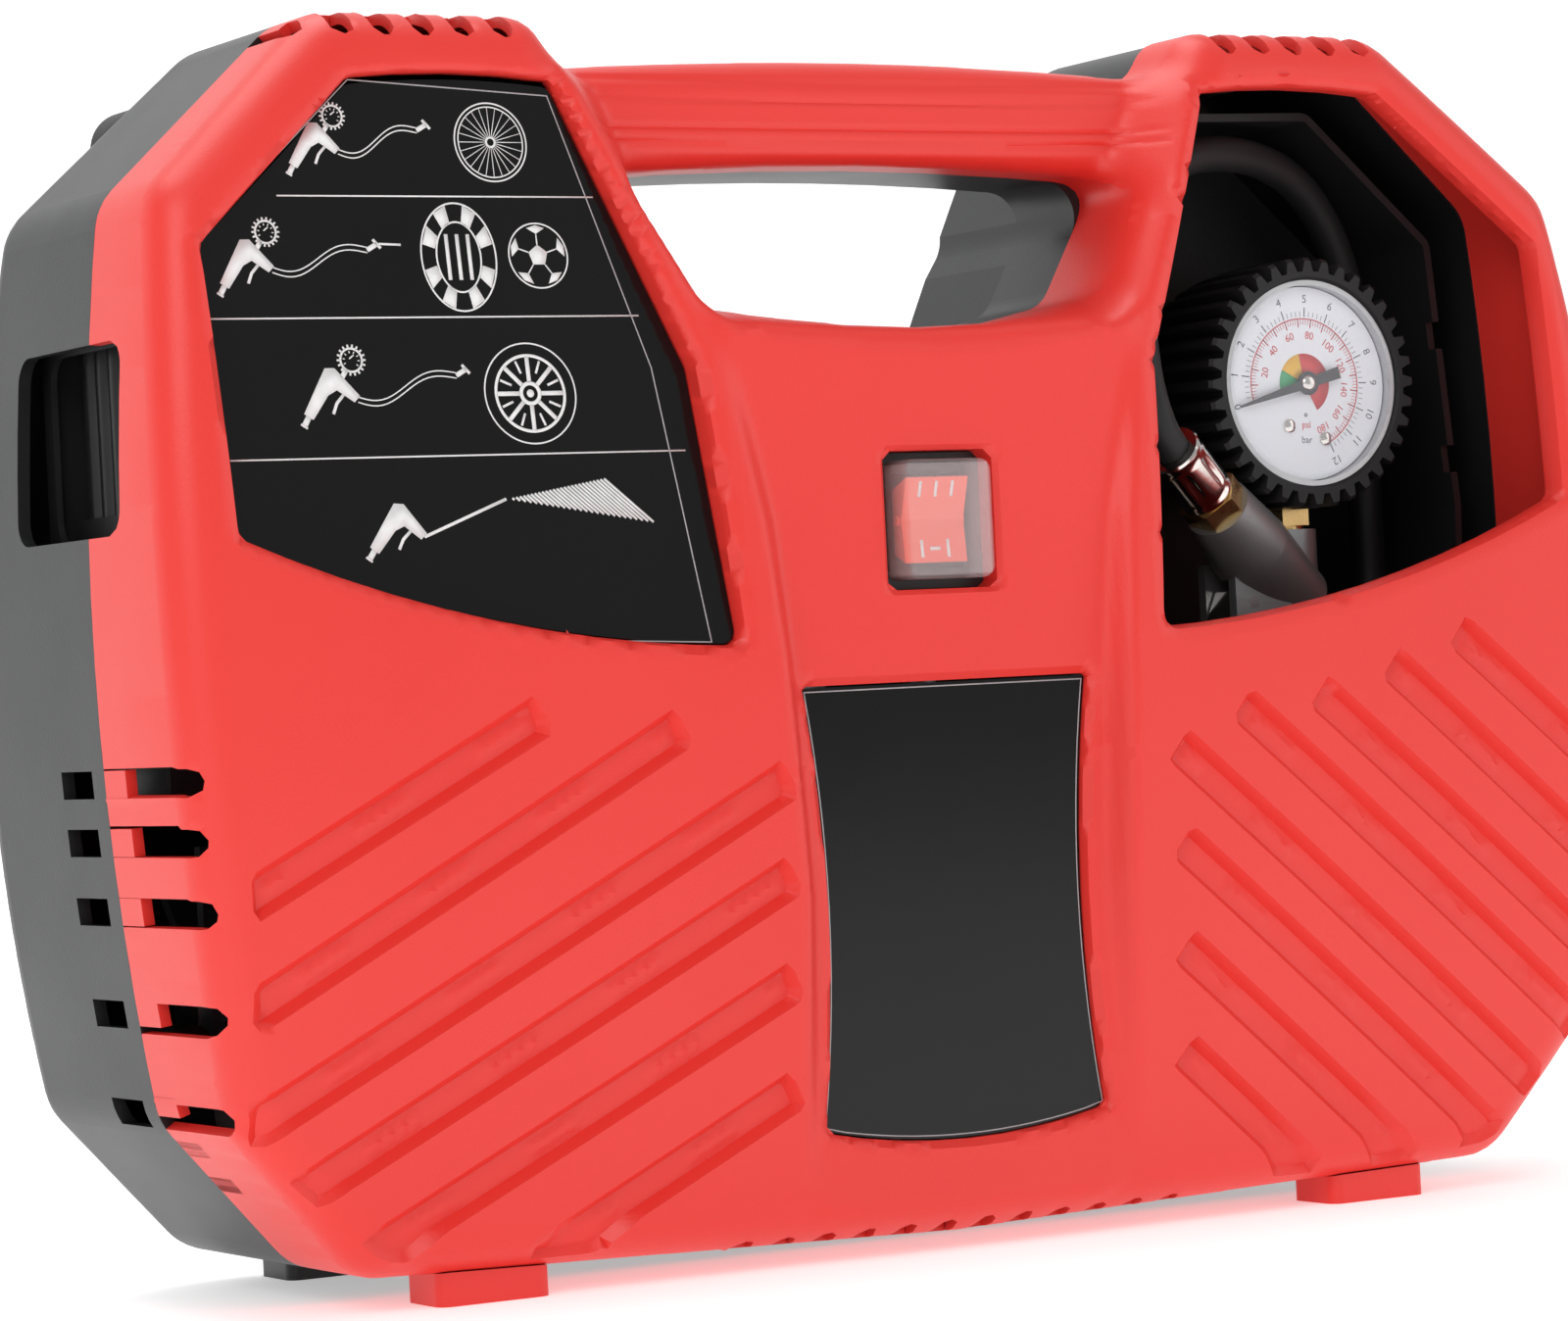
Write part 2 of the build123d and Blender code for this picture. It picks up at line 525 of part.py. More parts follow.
with BuildPart() as gun_inlet:
    with Locations((GRIP_FOOT.X, GRIP_FOOT.Y, GRIP_FOOT.Z)):
        Cylinder(4.95, 19)
    with BuildSketch(Plane.XY.offset(GRIP_FOOT.Z - 6)):
        with Locations((GRIP_FOOT.X, GRIP_FOOT.Y)):
            RegularPolygon(8.5, 6)
    extrude(amount=6)
    with Locations((GRIP_FOOT.X, GRIP_FOOT.Y, GRIP_FOOT.Z - 12)):
        Cylinder(3.8, 13)
    with Locations((GRIP_FOOT.X, GRIP_FOOT.Y, GRIP_FOOT.Z)):
        Cylinder(2, 60, mode=Mode.SUBTRACT)
gun_inlet.part.label = "gun_inlet"
export_step(gun_inlet.part, "parts/gun_inlet.step")

BOOT_RADIUS = 31.5
gauge_plane = Plane(origin=(GAUGE_X, GAUGE_Y, GAUGE_Z), x_dir=(1, 0, 0), z_dir=(0, -1, 0))

with BuildPart() as gauge_stem:
    with Locations((GAUGE_X, STEM_Y, 167)):
        Cylinder(STEM_RADIUS - 0.05, 14)
    with BuildSketch(Plane.XY.offset(168)):
        with Locations((GAUGE_X, STEM_Y)):
            RegularPolygon(8, 6)
    extrude(amount=6)
    with Locations((GAUGE_X, STEM_Y, 174)):
        Cylinder(4, 6.6)
gauge_stem.part.label = "gauge_stem"
export_step(gauge_stem.part, "parts/gauge_stem.step")

with BuildPart() as gauge_boot:
    with BuildSketch(gauge_plane.offset(GAUGE_Y - GAUGE_BACK_Y)):
        Circle(BOOT_RADIUS)
        with PolarLocations(BOOT_RADIUS + 0.6, 36, start_angle=5):
            Rectangle(6, 3, mode=Mode.SUBTRACT)
    extrude(amount=GAUGE_BACK_Y - GAUGE_Y)
    with BuildSketch(gauge_plane):
        Circle(26)
    extrude(amount=-35, mode=Mode.SUBTRACT)
    with Locations((GAUGE_X, STEM_Y, 171)):
        Cylinder(9.3, 8, mode=Mode.SUBTRACT)
    with Locations((GAUGE_X, STEM_Y, 176)):
        Cylinder(4.1, 12, mode=Mode.SUBTRACT)
gauge_boot.part.label = "gauge_boot"
export_step(gauge_boot.part, "parts/gauge_boot.step")

with BuildPart() as gauge_case:
    with BuildSketch(gauge_plane.offset(-1)):
        Circle(25.9)
    extrude(amount=-32)
    with BuildSketch(gauge_plane.offset(-1)):
        Circle(24.6)
    extrude(amount=-30, mode=Mode.SUBTRACT)
    with Locations(Location((GAUGE_X, GAUGE_Y + 18, GAUGE_Z), (90, 0, 0))):
        Cylinder(5, 26)
    with Locations(Location((GAUGE_X, GAUGE_Y + 10, GAUGE_Z), (90, 0, 0))):
        Cylinder(1.05, 60, mode=Mode.SUBTRACT)
gauge_case.part.label = "gauge_case"
export_step(gauge_case.part, "parts/gauge_case.step")

with BuildPart() as gauge_dial:
    with BuildSketch(gauge_plane.offset(-5)):
        Circle(24.4)
        Circle(1.6, mode=Mode.SUBTRACT)
    extrude(amount=1)
gauge_dial.part.label = "gauge_dial"
export_step(gauge_dial.part, "parts/gauge_dial.step")

NEEDLE_ZERO = 195.0                          # the needle's angle at rest, seen from the front
with BuildPart() as gauge_needle:
    with BuildSketch(gauge_plane.offset(-2.6)):
        with Locations(Rotation(0, 0, NEEDLE_ZERO)):
            Polygon((0, 1.3), (21.5, 0.3), (21.5, -0.3), (0, -1.3), (-10, -1.5), (-10, 1.5),
                    align=None)
        Circle(3)
    extrude(amount=0.6)
    with BuildSketch(gauge_plane.offset(-8)):
        Circle(1)
    extrude(amount=5.6)
gauge_needle.part.label = "gauge_needle"
export_step(gauge_needle.part, "parts/gauge_needle.step")

with BuildPart() as gauge_lens:
    with BuildSketch(gauge_plane.offset(-1.6)):
        Circle(24.5)
    extrude(amount=1.2)
    fillet(gauge_lens.faces().sort_by(Axis.Y)[0].edges(), 1)
gauge_lens.part.label = "gauge_lens"
export_step(gauge_lens.part, "parts/gauge_lens.step")

with BuildPart() as hose_nut:
    with BuildSketch(barrel_plane.offset(-6)):
        RegularPolygon(8, 6)
    extrude(amount=6)
    with BuildSketch(barrel_plane):
        Circle(4.95)
    extrude(amount=10)
hose_nut.part.label = "hose_nut"
export_step(hose_nut.part, "parts/hose_nut.step")

FERRULE_START, FERRULE_LENGTH = -6.0, 19.0
with BuildPart() as hose_ferrule:
    with BuildSketch(barrel_plane.offset(FERRULE_START - FERRULE_LENGTH)):
        Circle(7)
    extrude(amount=FERRULE_LENGTH)
    with BuildSketch(barrel_plane.offset(FERRULE_START - FERRULE_LENGTH)):
        Circle(HOSE_RADIUS)
    extrude(amount=14, mode=Mode.SUBTRACT)
hose_ferrule.part.label = "hose_ferrule"
export_step(hose_ferrule.part, "parts/hose_ferrule.step")

# The hose leaves the ferrule, arches over the gauge and comes down behind its right side.
hose_exit = NOZZLE + barrel_dir * (FERRULE_START - FERRULE_LENGTH)
HOSE_END = Vector(172, 12, 150)
HOSE_POINTS = (hose_exit, hose_exit + barrel_dir * -14, Vector(76, -27, 236), Vector(92, -18, 262),
               Vector(138, -5, 263), Vector(165, 6, 238), Vector(172, 12, 200), HOSE_END)
with BuildPart() as inflator_hose:
    with BuildLine():
        route = FilletPolyline(*HOSE_POINTS, radius=18)
    with BuildSketch(Plane(origin=route @ 0, z_dir=route % 0)):
        Circle(HOSE_RADIUS)
    sweep()
inflator_hose.part.label = "inflator_hose"
export_step(inflator_hose.part, "parts/inflator_hose.step")

CHUCK_PIN_Y, CHUCK_PIN_Z = 2.0, 124.0
with BuildPart() as tyre_chuck:
    with Locations((HOSE_END.X, HOSE_END.Y, 143)):
        Cylinder(6.5, 14)
    with Locations((HOSE_END.X, HOSE_END.Y, 126)):
        Cylinder(5, 20)
    with Locations(Location((HOSE_END.X - 6, HOSE_END.Y, 112), (0, 90, 0))):
        Cylinder(8, 22)
    with Locations(Location((HOSE_END.X - 16, HOSE_END.Y, 112), (0, 90, 0))):
        Cylinder(4, 12, mode=Mode.SUBTRACT)
    with Locations((HOSE_END.X, HOSE_END.Y - 9, CHUCK_PIN_Z)):
        Box(6, 8, 7)
    with Locations(Location((HOSE_END.X, CHUCK_PIN_Y, CHUCK_PIN_Z), (0, 90, 0))):
        Cylinder(1.26, 20, mode=Mode.SUBTRACT)
tyre_chuck.part.label = "tyre_chuck"
export_step(tyre_chuck.part, "parts/tyre_chuck.step")

# The lever straddles a lug on the chuck's neck, and its pin turns in the lug.
with BuildPart() as chuck_lever:
    with Locations((HOSE_END.X, CHUCK_PIN_Y - 6, CHUCK_PIN_Z - 12)):
        Box(12.6, 2, 32)
    with Locations((HOSE_END.X, CHUCK_PIN_Y - 1.5, CHUCK_PIN_Z)):
        Box(12.6, 7, 7)
    with Locations((HOSE_END.X, CHUCK_PIN_Y, CHUCK_PIN_Z)):
        Box(6.6, 10, 20, mode=Mode.SUBTRACT)
    with Locations(Location((HOSE_END.X, CHUCK_PIN_Y, CHUCK_PIN_Z), (0, 90, 0))):
        Cylinder(1.2, 12.6)
chuck_lever.part.label = "chuck_lever"
export_step(chuck_lever.part, "parts/chuck_lever.step")

# ---- mains lead stowed in the left-hand lobe ---------------------------------------------------------
POCKET_Y = (-30.0, 33.0)
HANK_X, HANK_Z = -158.0, 187.5               # middle of the hank
HANK_BEND = 19.5                             # bend radius of the lead's centreline
HANK_RUN = 97.0                              # straight part of each strand
HANK_TURNS = 7
HANK_PITCH = 6.9
HANK_Y = -23.2                               # first turn
LEAD_EXIT = Vector(-112, HANK_Y, HANK_Z - HANK_RUN / 2 - HANK_BEND)
HANK_END_Y = HANK_Y + HANK_TURNS * HANK_PITCH
PLUG_X, PLUG_TOP_Z = -106.0, 216.0
LEAD_OUT_Z = HANK_Z + HANK_RUN / 2 + HANK_BEND

POCKET_WALL = 1.5
GLAND_RADIUS = 4.9
with BuildSketch(Plane.XY) as pocket_outline:
    Polygon((-187, 112.5), (-82, 112.5), (-82, 250), (-98, 268), (-161.8, 268), (-187, 243),
            align=None)
with BuildPart() as lead_pocket:
    with BuildSketch(front_plane.offset(-POCKET_Y[1])):
        add(pocket_outline.sketch)
    extrude(amount=POCKET_Y[1] - POCKET_Y[0])
    with BuildSketch(front_plane.offset(-POCKET_Y[1] + POCKET_WALL)):
        add(pocket_outline.sketch)
        offset(amount=-POCKET_WALL, kind=Kind.INTERSECTION, mode=Mode.REPLACE)
    extrude(amount=POCKET_Y[1] - POCKET_Y[0] - 2 * POCKET_WALL, mode=Mode.SUBTRACT)
    add(pocket_mouth.part, mode=Mode.SUBTRACT)
    with Locations(Location((-82.5, LEAD_EXIT.Y, LEAD_EXIT.Z), (0, 90, 0))):
        Cylinder(GLAND_RADIUS, 6, mode=Mode.SUBTRACT)
lead_pocket.part.label = "lead_pocket"
export_step(lead_pocket.part, "parts/lead_pocket.step")

# The gland is a long sleeve that passes through the pocket's inner wall.
with BuildPart() as lead_gland:
    with Locations(Location((-96, LEAD_EXIT.Y, LEAD_EXIT.Z), (0, 90, 0))):
        Cylinder(GLAND_RADIUS, 32)
        Cylinder(LEAD_RADIUS, 32, mode=Mode.SUBTRACT)
lead_gland.part.label = "lead_gland"
export_step(lead_gland.part, "parts/lead_gland.step")

with BuildPart() as lead_hank:
    with BuildSketch(front_plane.offset(-HANK_END_Y - LEAD_RADIUS)):
        with Locations((HANK_X, HANK_Z)):
            SlotCenterToCenter(HANK_RUN, 2 * (HANK_BEND + LEAD_RADIUS), rotation=90)
            SlotCenterToCenter(HANK_RUN, 2 * (HANK_BEND - LEAD_RADIUS), rotation=90,
                               mode=Mode.SUBTRACT)
    extrude(amount=HANK_END_Y - HANK_Y + 2 * LEAD_RADIUS)
lead_hank.part.label = "lead_hank"
export_step(lead_hank.part, "parts/lead_hank.step")

# One short run leads in at the bottom of the hank, another leads out at its top to the plug.
LEAD_IN_POINTS = (LEAD_EXIT, Vector(HANK_X, HANK_Y, LEAD_EXIT.Z))
LEAD_OUT_POINTS = (Vector(HANK_X, HANK_END_Y, LEAD_OUT_Z), Vector(PLUG_X, HANK_END_Y, LEAD_OUT_Z),
                   Vector(PLUG_X, HANK_END_Y, PLUG_TOP_Z))
with BuildPart() as mains_lead:
    with BuildLine():
        lead_in = Line(*LEAD_IN_POINTS)
    with BuildSketch(Plane(origin=lead_in @ 0, z_dir=lead_in % 0)):
        Circle(LEAD_RADIUS)
    sweep()
    with BuildLine():
        lead_out = FilletPolyline(*LEAD_OUT_POINTS, radius=22)
    with BuildSketch(Plane(origin=lead_out @ 0, z_dir=lead_out % 0)):
        Circle(LEAD_RADIUS)
    sweep()
    add(lead_hank.part, mode=Mode.SUBTRACT)
mains_lead.part.label = "mains_lead"
export_step(mains_lead.part, "parts/mains_lead.step")

with BuildPart() as lead_tie:
    with Locations((HANK_X - HANK_BEND, (HANK_Y + HANK_END_Y) / 2, HANK_Z - 12)):
        Box(2 * LEAD_RADIUS + 2.4, HANK_END_Y - HANK_Y + 2 * LEAD_RADIUS + 2.4, 9)
    with Locations((HANK_X - HANK_BEND - LEAD_RADIUS - 2, HANK_Y + 16, HANK_Z - 12)):
        Box(3, 10, 14)
    add(lead_hank.part, mode=Mode.SUBTRACT)
lead_tie.part.label = "lead_tie"
export_step(lead_tie.part, "parts/lead_tie.step")

with BuildPart() as mains_plug:
    with Locations((PLUG_X, HANK_END_Y - 14.0, PLUG_TOP_Z - 55)):
        Cylinder(17, 26)
    fillet(mains_plug.edges(), 3)
    with BuildSketch(Plane.XY.offset(PLUG_TOP_Z - 45)):
        with Locations((PLUG_X, HANK_END_Y - 12)):
            Circle(13)
    with BuildSketch(Plane.XY.offset(PLUG_TOP_Z)):
        with Locations((PLUG_X, HANK_END_Y)):
            Circle(4.6)
    loft()
    for pin_x in (PLUG_X - 9.5, PLUG_X + 9.5):
        with Locations((pin_x, HANK_END_Y - 14, PLUG_TOP_Z - 76)):
            Cylinder(2.4, 19)
mains_plug.part.label = "mains_plug"
export_step(mains_plug.part, "parts/mains_plug.step")

# ---- motor: shaft along X, fan at the left-hand end, crank at the right-hand end ------------------------
STATOR_RADIUS, STATOR_BORE, ROTOR_RADIUS = 42.0, 25.0, 24.5
STATOR_X = (-126.0, -78.0)
BRACKET_X = (-140.0, -66.0)
SHAFT_RADIUS = 5.0
SHAFT_X = (-169.0, -12.0)
FAN_X = -160.0
BRACKET_THICK = 4.0
TIE_ROD_CIRCLE = 44.3


def x_disc(x, radius, length, mode=Mode.ADD):
    """Round bar along the motor's axis, centred at x."""
    with Locations(Location((x, MOTOR_Y, MOTOR_Z), (0, 90, 0))):
        Cylinder(radius, length, mode=mode)


with BuildPart() as stator_core:
    x_disc(sum(STATOR_X) / 2, STATOR_RADIUS, STATOR_X[1] - STATOR_X[0])
    x_disc(sum(STATOR_X) / 2, STATOR_BORE, REACH, Mode.SUBTRACT)
stator_core.part.label = "stator_core"
export_step(stator_core.part, "parts/stator_core.step")

with BuildPart() as stator_windings:
    for coil_x in (STATOR_X[0] - 4.5, STATOR_X[1] + 3.5):
        x_disc(coil_x, 38, 9 if coil_x < STATOR_X[0] else 7)
    fillet(stator_windings.edges(), 2)
    x_disc(-100, 27, REACH, Mode.SUBTRACT)
stator_windings.part.label = "stator_windings"
export_step(stator_windings.part, "parts/stator_windings.step")

with BuildPart() as motor_frame:
    for bracket_x in BRACKET_X:
        x_disc(bracket_x, 44, BRACKET_THICK)
        with Locations((bracket_x, MOTOR_Y, 27)):
            Box(BRACKET_THICK, 70, 20)
        with Locations((bracket_x, MOTOR_Y, MOTOR_Z)):
            Box(BRACKET_THICK, 94, 36)
    for angle in (20, 160, 200, 340):
        rod_y = MOTOR_Y + TIE_ROD_CIRCLE * cos(radians(angle))
        rod_z = MOTOR_Z + TIE_ROD_CIRCLE * sin(radians(angle))
        with Locations(Location((sum(BRACKET_X) / 2, rod_y, rod_z), (0, 90, 0))):
            Cylinder(2, BRACKET_X[1] - BRACKET_X[0])
    x_disc(-100, 10, REACH, Mode.SUBTRACT)
motor_frame.part.label = "motor_frame"
export_step(motor_frame.part, "parts/motor_frame.step")

with BuildPart() as motor_bearings:
    for bracket_x in BRACKET_X:
        x_disc(bracket_x, 10, 8)
        x_disc(bracket_x, SHAFT_RADIUS + 0.05, 8, Mode.SUBTRACT)
motor_bearings.part.label = "motor_bearings"
export_step(motor_bearings.part, "parts/motor_bearings.step")

with BuildPart() as motor_shaft:
    x_disc(sum(SHAFT_X) / 2, SHAFT_RADIUS, SHAFT_X[1] - SHAFT_X[0])
motor_shaft.part.label = "motor_shaft"
export_step(motor_shaft.part, "parts/motor_shaft.step")

with BuildPart() as rotor_core:
    x_disc(sum(STATOR_X) / 2, ROTOR_RADIUS, STATOR_X[1] - STATOR_X[0] + 4)
    x_disc(-100, SHAFT_RADIUS, REACH, Mode.SUBTRACT)
rotor_core.part.label = "rotor_core"
export_step(rotor_core.part, "parts/rotor_core.step")

with BuildPart() as cooling_fan:
    x_disc(FAN_X, 11, 16)
    x_disc(FAN_X + 7, 38, 2)
    with PolarLocations(0, 1):
        for index in range(9):
            blade = Location((FAN_X, MOTOR_Y, MOTOR_Z), (40 * index, 0, 0))
            with Locations(blade * Location((0, 0, 24.5), (0, 0, 24))):
                Box(14, 1.8, 27)
    x_disc(FAN_X, SHAFT_RADIUS, REACH, Mode.SUBTRACT)
cooling_fan.part.label = "cooling_fan"
export_step(cooling_fan.part, "parts/cooling_fan.step")

# ---- pump: crankcase, eccentric, one-piece rod and cup piston, finned cylinder, head -------------------
CYLINDER_Z = (108.0, 140.0)
PLATE_THICK = 3.0
HEAD_HEIGHT = 17.0
PISTON_TOP_Z = 127.0

with BuildPart() as crank_eccentric:
    x_disc(-42, 13, 8)
    with Locations(Location((-27, MOTOR_Y + CRANK_THROW, MOTOR_Z), (0, 90, 0))):
        Cylinder(10.2, 26)
    with Locations(Location((-42, MOTOR_Y, MOTOR_Z), (0, 90, 0))):
        Cylinder(24, 8, arc_size=150, rotation=(0, 0, 15))
    x_disc(-30, SHAFT_RADIUS, REACH, Mode.SUBTRACT)
crank_eccentric.part.label = "crank_eccentric"
export_step(crank_eccentric.part, "parts/crank_eccentric.step")

with BuildPart() as crank_bearing:
    with Locations(Location((PUMP_X, MOTOR_Y + CRANK_THROW, MOTOR_Z), (0, 90, 0))):
        Cylinder(12.5, 8)
        Cylinder(10.2, 8, mode=Mode.SUBTRACT)
crank_bearing.part.label = "crank_bearing"
export_step(crank_bearing.part, "parts/crank_bearing.step")

with BuildPart() as piston_rod:
    x_disc(PUMP_X, 27, 8)
    with Locations((PUMP_X, MOTOR_Y, 104)):
        Box(8, 14, 34)
    with Locations((PUMP_X, MOTOR_Y, PISTON_TOP_Z - 4)):
        Cylinder(19, 6)
    x_disc(PUMP_X, 22.9, 20, Mode.SUBTRACT)
piston_rod.part.label = "piston_rod"
export_step(piston_rod.part, "parts/piston_rod.step")

with BuildPart() as piston_cup:
    with Locations((PUMP_X, MOTOR_Y, PISTON_TOP_Z + 0.5)):
        Cylinder(BORE_RADIUS - 0.06, 3)
piston_cup.part.label = "piston_cup"
export_step(piston_cup.part, "parts/piston_cup.step")

with BuildPart() as crankcase:
    with Locations((-26, MOTOR_Y, 68)):
        Box(60, 66, 80)
    fillet(crankcase.edges().filter_by(Axis.Z), 5)
    with Locations((-26, MOTOR_Y, 68.5)):
        Box(54, 60, 73, mode=Mode.SUBTRACT)
    with Locations((PUMP_X, MOTOR_Y, 106)):
        Cylinder(BORE_RADIUS + 1.5, 12, mode=Mode.SUBTRACT)
    x_disc(-60, 9, 20, Mode.SUBTRACT)
crankcase.part.label = "crankcase"
export_step(crankcase.part, "parts/crankcase.step")

with BuildPart() as cylinder:
    with Locations((PUMP_X, MOTOR_Y, sum(CYLINDER_Z) / 2)):
        Cylinder(BORE_RADIUS + 3, CYLINDER_Z[1] - CYLINDER_Z[0])
    for fin_z in range(112, 140, 5):
        with Locations((PUMP_X, MOTOR_Y, fin_z)):
            Cylinder(29, 2)
    with Locations((PUMP_X, MOTOR_Y, sum(CYLINDER_Z) / 2)):
        Cylinder(BORE_RADIUS, REACH, mode=Mode.SUBTRACT)
cylinder.part.label = "cylinder"
export_step(cylinder.part, "parts/cylinder.step")

plate_z = CYLINDER_Z[1] + PLATE_THICK / 2
head_z = CYLINDER_Z[1] + PLATE_THICK + HEAD_HEIGHT / 2
with BuildPart() as valve_plate:
    with Locations((PUMP_X, MOTOR_Y, plate_z)):
        Box(54, 54, PLATE_THICK)
        Cylinder(3, 10, mode=Mode.SUBTRACT)
valve_plate.part.label = "valve_plate"
export_step(valve_plate.part, "parts/valve_plate.step")

with BuildPart() as cylinder_head:
    with Locations((PUMP_X, MOTOR_Y, head_z)):
        Box(54, 54, HEAD_HEIGHT)
    fillet(cylinder_head.edges().filter_by(Axis.Z), 6)
    for fin_y in range(-12, 29, 8):
        with Locations((PUMP_X, fin_y, head_z + 5)):
            Box(60, 4, 8, mode=Mode.SUBTRACT)
    with GridLocations(42, 42, 2, 2):
        with Locations((PUMP_X, MOTOR_Y, head_z)):
            Cylinder(2, 40, mode=Mode.SUBTRACT)
cylinder_head.part.label = "cylinder_head"
export_step(cylinder_head.part, "parts/cylinder_head.step")

with BuildPart() as head_bolts:
    for bolt_x in (PUMP_X - 21, PUMP_X + 21):
        for bolt_y in (MOTOR_Y - 21, MOTOR_Y + 21):
            with Locations((bolt_x, bolt_y, head_z)):
                Cylinder(2, HEAD_HEIGHT)
            with Locations((bolt_x, bolt_y, head_z + HEAD_HEIGHT / 2 + 1.5)):
                Cylinder(3.5, 3)
head_bolts.part.label = "head_bolts"
export_step(head_bolts.part, "parts/head_bolts.step")

with BuildPart() as intake_filter:
    with Locations(Location((-57, MOTOR_Y, head_z - 2), (0, 90, 0))):
        Cylinder(5, 10)
    with Locations(Location((-70, MOTOR_Y, head_z - 2), (0, 90, 0))):
        Cylinder(11, 16)
    fillet(intake_filter.edges().sort_by(Axis.X)[0], 2)
intake_filter.part.label = "intake_filter"
export_step(intake_filter.part, "parts/intake_filter.step")

DELIVERY_POINTS = (Vector(2, MOTOR_Y, head_z - 2), Vector(30, MOTOR_Y, head_z - 2),
                   Vector(30, MOTOR_Y, COUPLER_Z), Vector(54, MOTOR_Y, COUPLER_Z))
with BuildPart() as delivery_pipe:
    with BuildLine():
        delivery = FilletPolyline(*DELIVERY_POINTS, radius=9)
    with BuildSketch(Plane(origin=delivery @ 0, z_dir=delivery % 0)):
        Circle(4)
    sweep()
delivery_pipe.part.label = "delivery_pipe"
export_step(delivery_pipe.part, "parts/delivery_pipe.step")

with BuildPart() as relief_valve:
    with BuildSketch(Plane.XY.offset(head_z + HEAD_HEIGHT / 2)):
        with Locations((PUMP_X, MOTOR_Y + 8)):
            RegularPolygon(6, 6)
    extrude(amount=5)
    with Locations((PUMP_X, MOTOR_Y + 8, head_z + HEAD_HEIGHT / 2 + 9)):
        Cylinder(4, 8)
relief_valve.part.label = "relief_valve"
export_step(relief_valve.part, "parts/relief_valve.step")

PLATE_Z = 14.0
MOUNT_SPOTS = [(x, y) for x in (-130, 10) for y in (-18, 34)]
with BuildPart() as motor_bracket:
    with Locations((-66, MOTOR_Y, PLATE_Z + 1.5)):
        Box(166, 68, 3)
    for mount_x, mount_y in MOUNT_SPOTS:
        with Locations((mount_x, mount_y, PLATE_Z)):
            Cylinder(2.5, 10, mode=Mode.SUBTRACT)
    with Locations((-26, MOTOR_Y, PLATE_Z + 8.5)):
        Box(52, 60, 11)
        Box(46, 60, 12, mode=Mode.SUBTRACT)
motor_bracket.part.label = "motor_bracket"
export_step(motor_bracket.part, "parts/motor_bracket.step")

with BuildPart() as rubber_mounts:
    for mount_x, mount_y in MOUNT_SPOTS:
        with Locations((mount_x, mount_y, PLATE_Z - 2.5)):
            Cylinder(6, 5)
        with Locations((mount_x, mount_y, PLATE_Z + 1)):
            Cylinder(2.5, 8)
    add(case_blank(FRONT_WALL, EDGE_ROUND - 4), mode=Mode.INTERSECT)
rubber_mounts.part.label = "rubber_mounts"
export_step(rubber_mounts.part, "parts/rubber_mounts.step")

with BuildPart() as run_capacitor:
    with Locations(Location((120, 12, 34), (0, 90, 0))):
        Cylinder(17, 62)
    fillet(run_capacitor.edges(), 2)
    with Locations(Location((86, 12, 34), (0, 90, 0))):
        Cylinder(4, 8)
run_capacitor.part.label = "run_capacitor"
export_step(run_capacitor.part, "parts/run_capacitor.step")

with BuildPart() as capacitor_strap:
    with Locations(Location((120, 12, 34), (0, 90, 0))):
        Cylinder(18.5, 12)
        Cylinder(17, 12, mode=Mode.SUBTRACT)
    with Locations((120, 12, 12.6)):
        Box(12, 40, 5.8)
    add(run_capacitor.part, mode=Mode.SUBTRACT)
    add(case_blank(FRONT_WALL, EDGE_ROUND - 4), mode=Mode.INTERSECT)
capacitor_strap.part.label = "capacitor_strap"
export_step(capacitor_strap.part, "parts/capacitor_strap.step")
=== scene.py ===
"""Carrying-case air compressor: the looks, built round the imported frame.

Lengths inside the functions are millimetres in the frame's axes (X width, -Y front, +Z up), and
MM turns them into the scene's metres. The front of the case is one surface y(x, z) with soft
recesses, ribs and vents, and the printed panels, dial, boot, hose and lead are pieces of their own.
"""
import json
import math

import bmesh
import bpy
import numpy as np
from mathutils import Matrix


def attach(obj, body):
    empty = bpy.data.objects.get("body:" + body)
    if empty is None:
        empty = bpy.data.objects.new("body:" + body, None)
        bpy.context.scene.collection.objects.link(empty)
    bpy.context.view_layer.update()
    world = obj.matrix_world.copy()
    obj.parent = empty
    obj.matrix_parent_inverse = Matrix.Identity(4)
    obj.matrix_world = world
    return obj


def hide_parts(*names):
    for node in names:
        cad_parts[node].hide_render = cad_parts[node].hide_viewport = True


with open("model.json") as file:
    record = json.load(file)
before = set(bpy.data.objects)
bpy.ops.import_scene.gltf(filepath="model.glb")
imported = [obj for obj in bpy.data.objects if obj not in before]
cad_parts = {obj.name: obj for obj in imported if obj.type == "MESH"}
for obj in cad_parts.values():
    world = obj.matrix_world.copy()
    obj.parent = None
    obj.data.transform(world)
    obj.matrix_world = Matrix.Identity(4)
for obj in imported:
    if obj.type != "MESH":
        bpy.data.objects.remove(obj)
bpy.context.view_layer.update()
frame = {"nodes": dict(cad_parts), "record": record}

MM = 0.001
TAU = 2 * math.pi


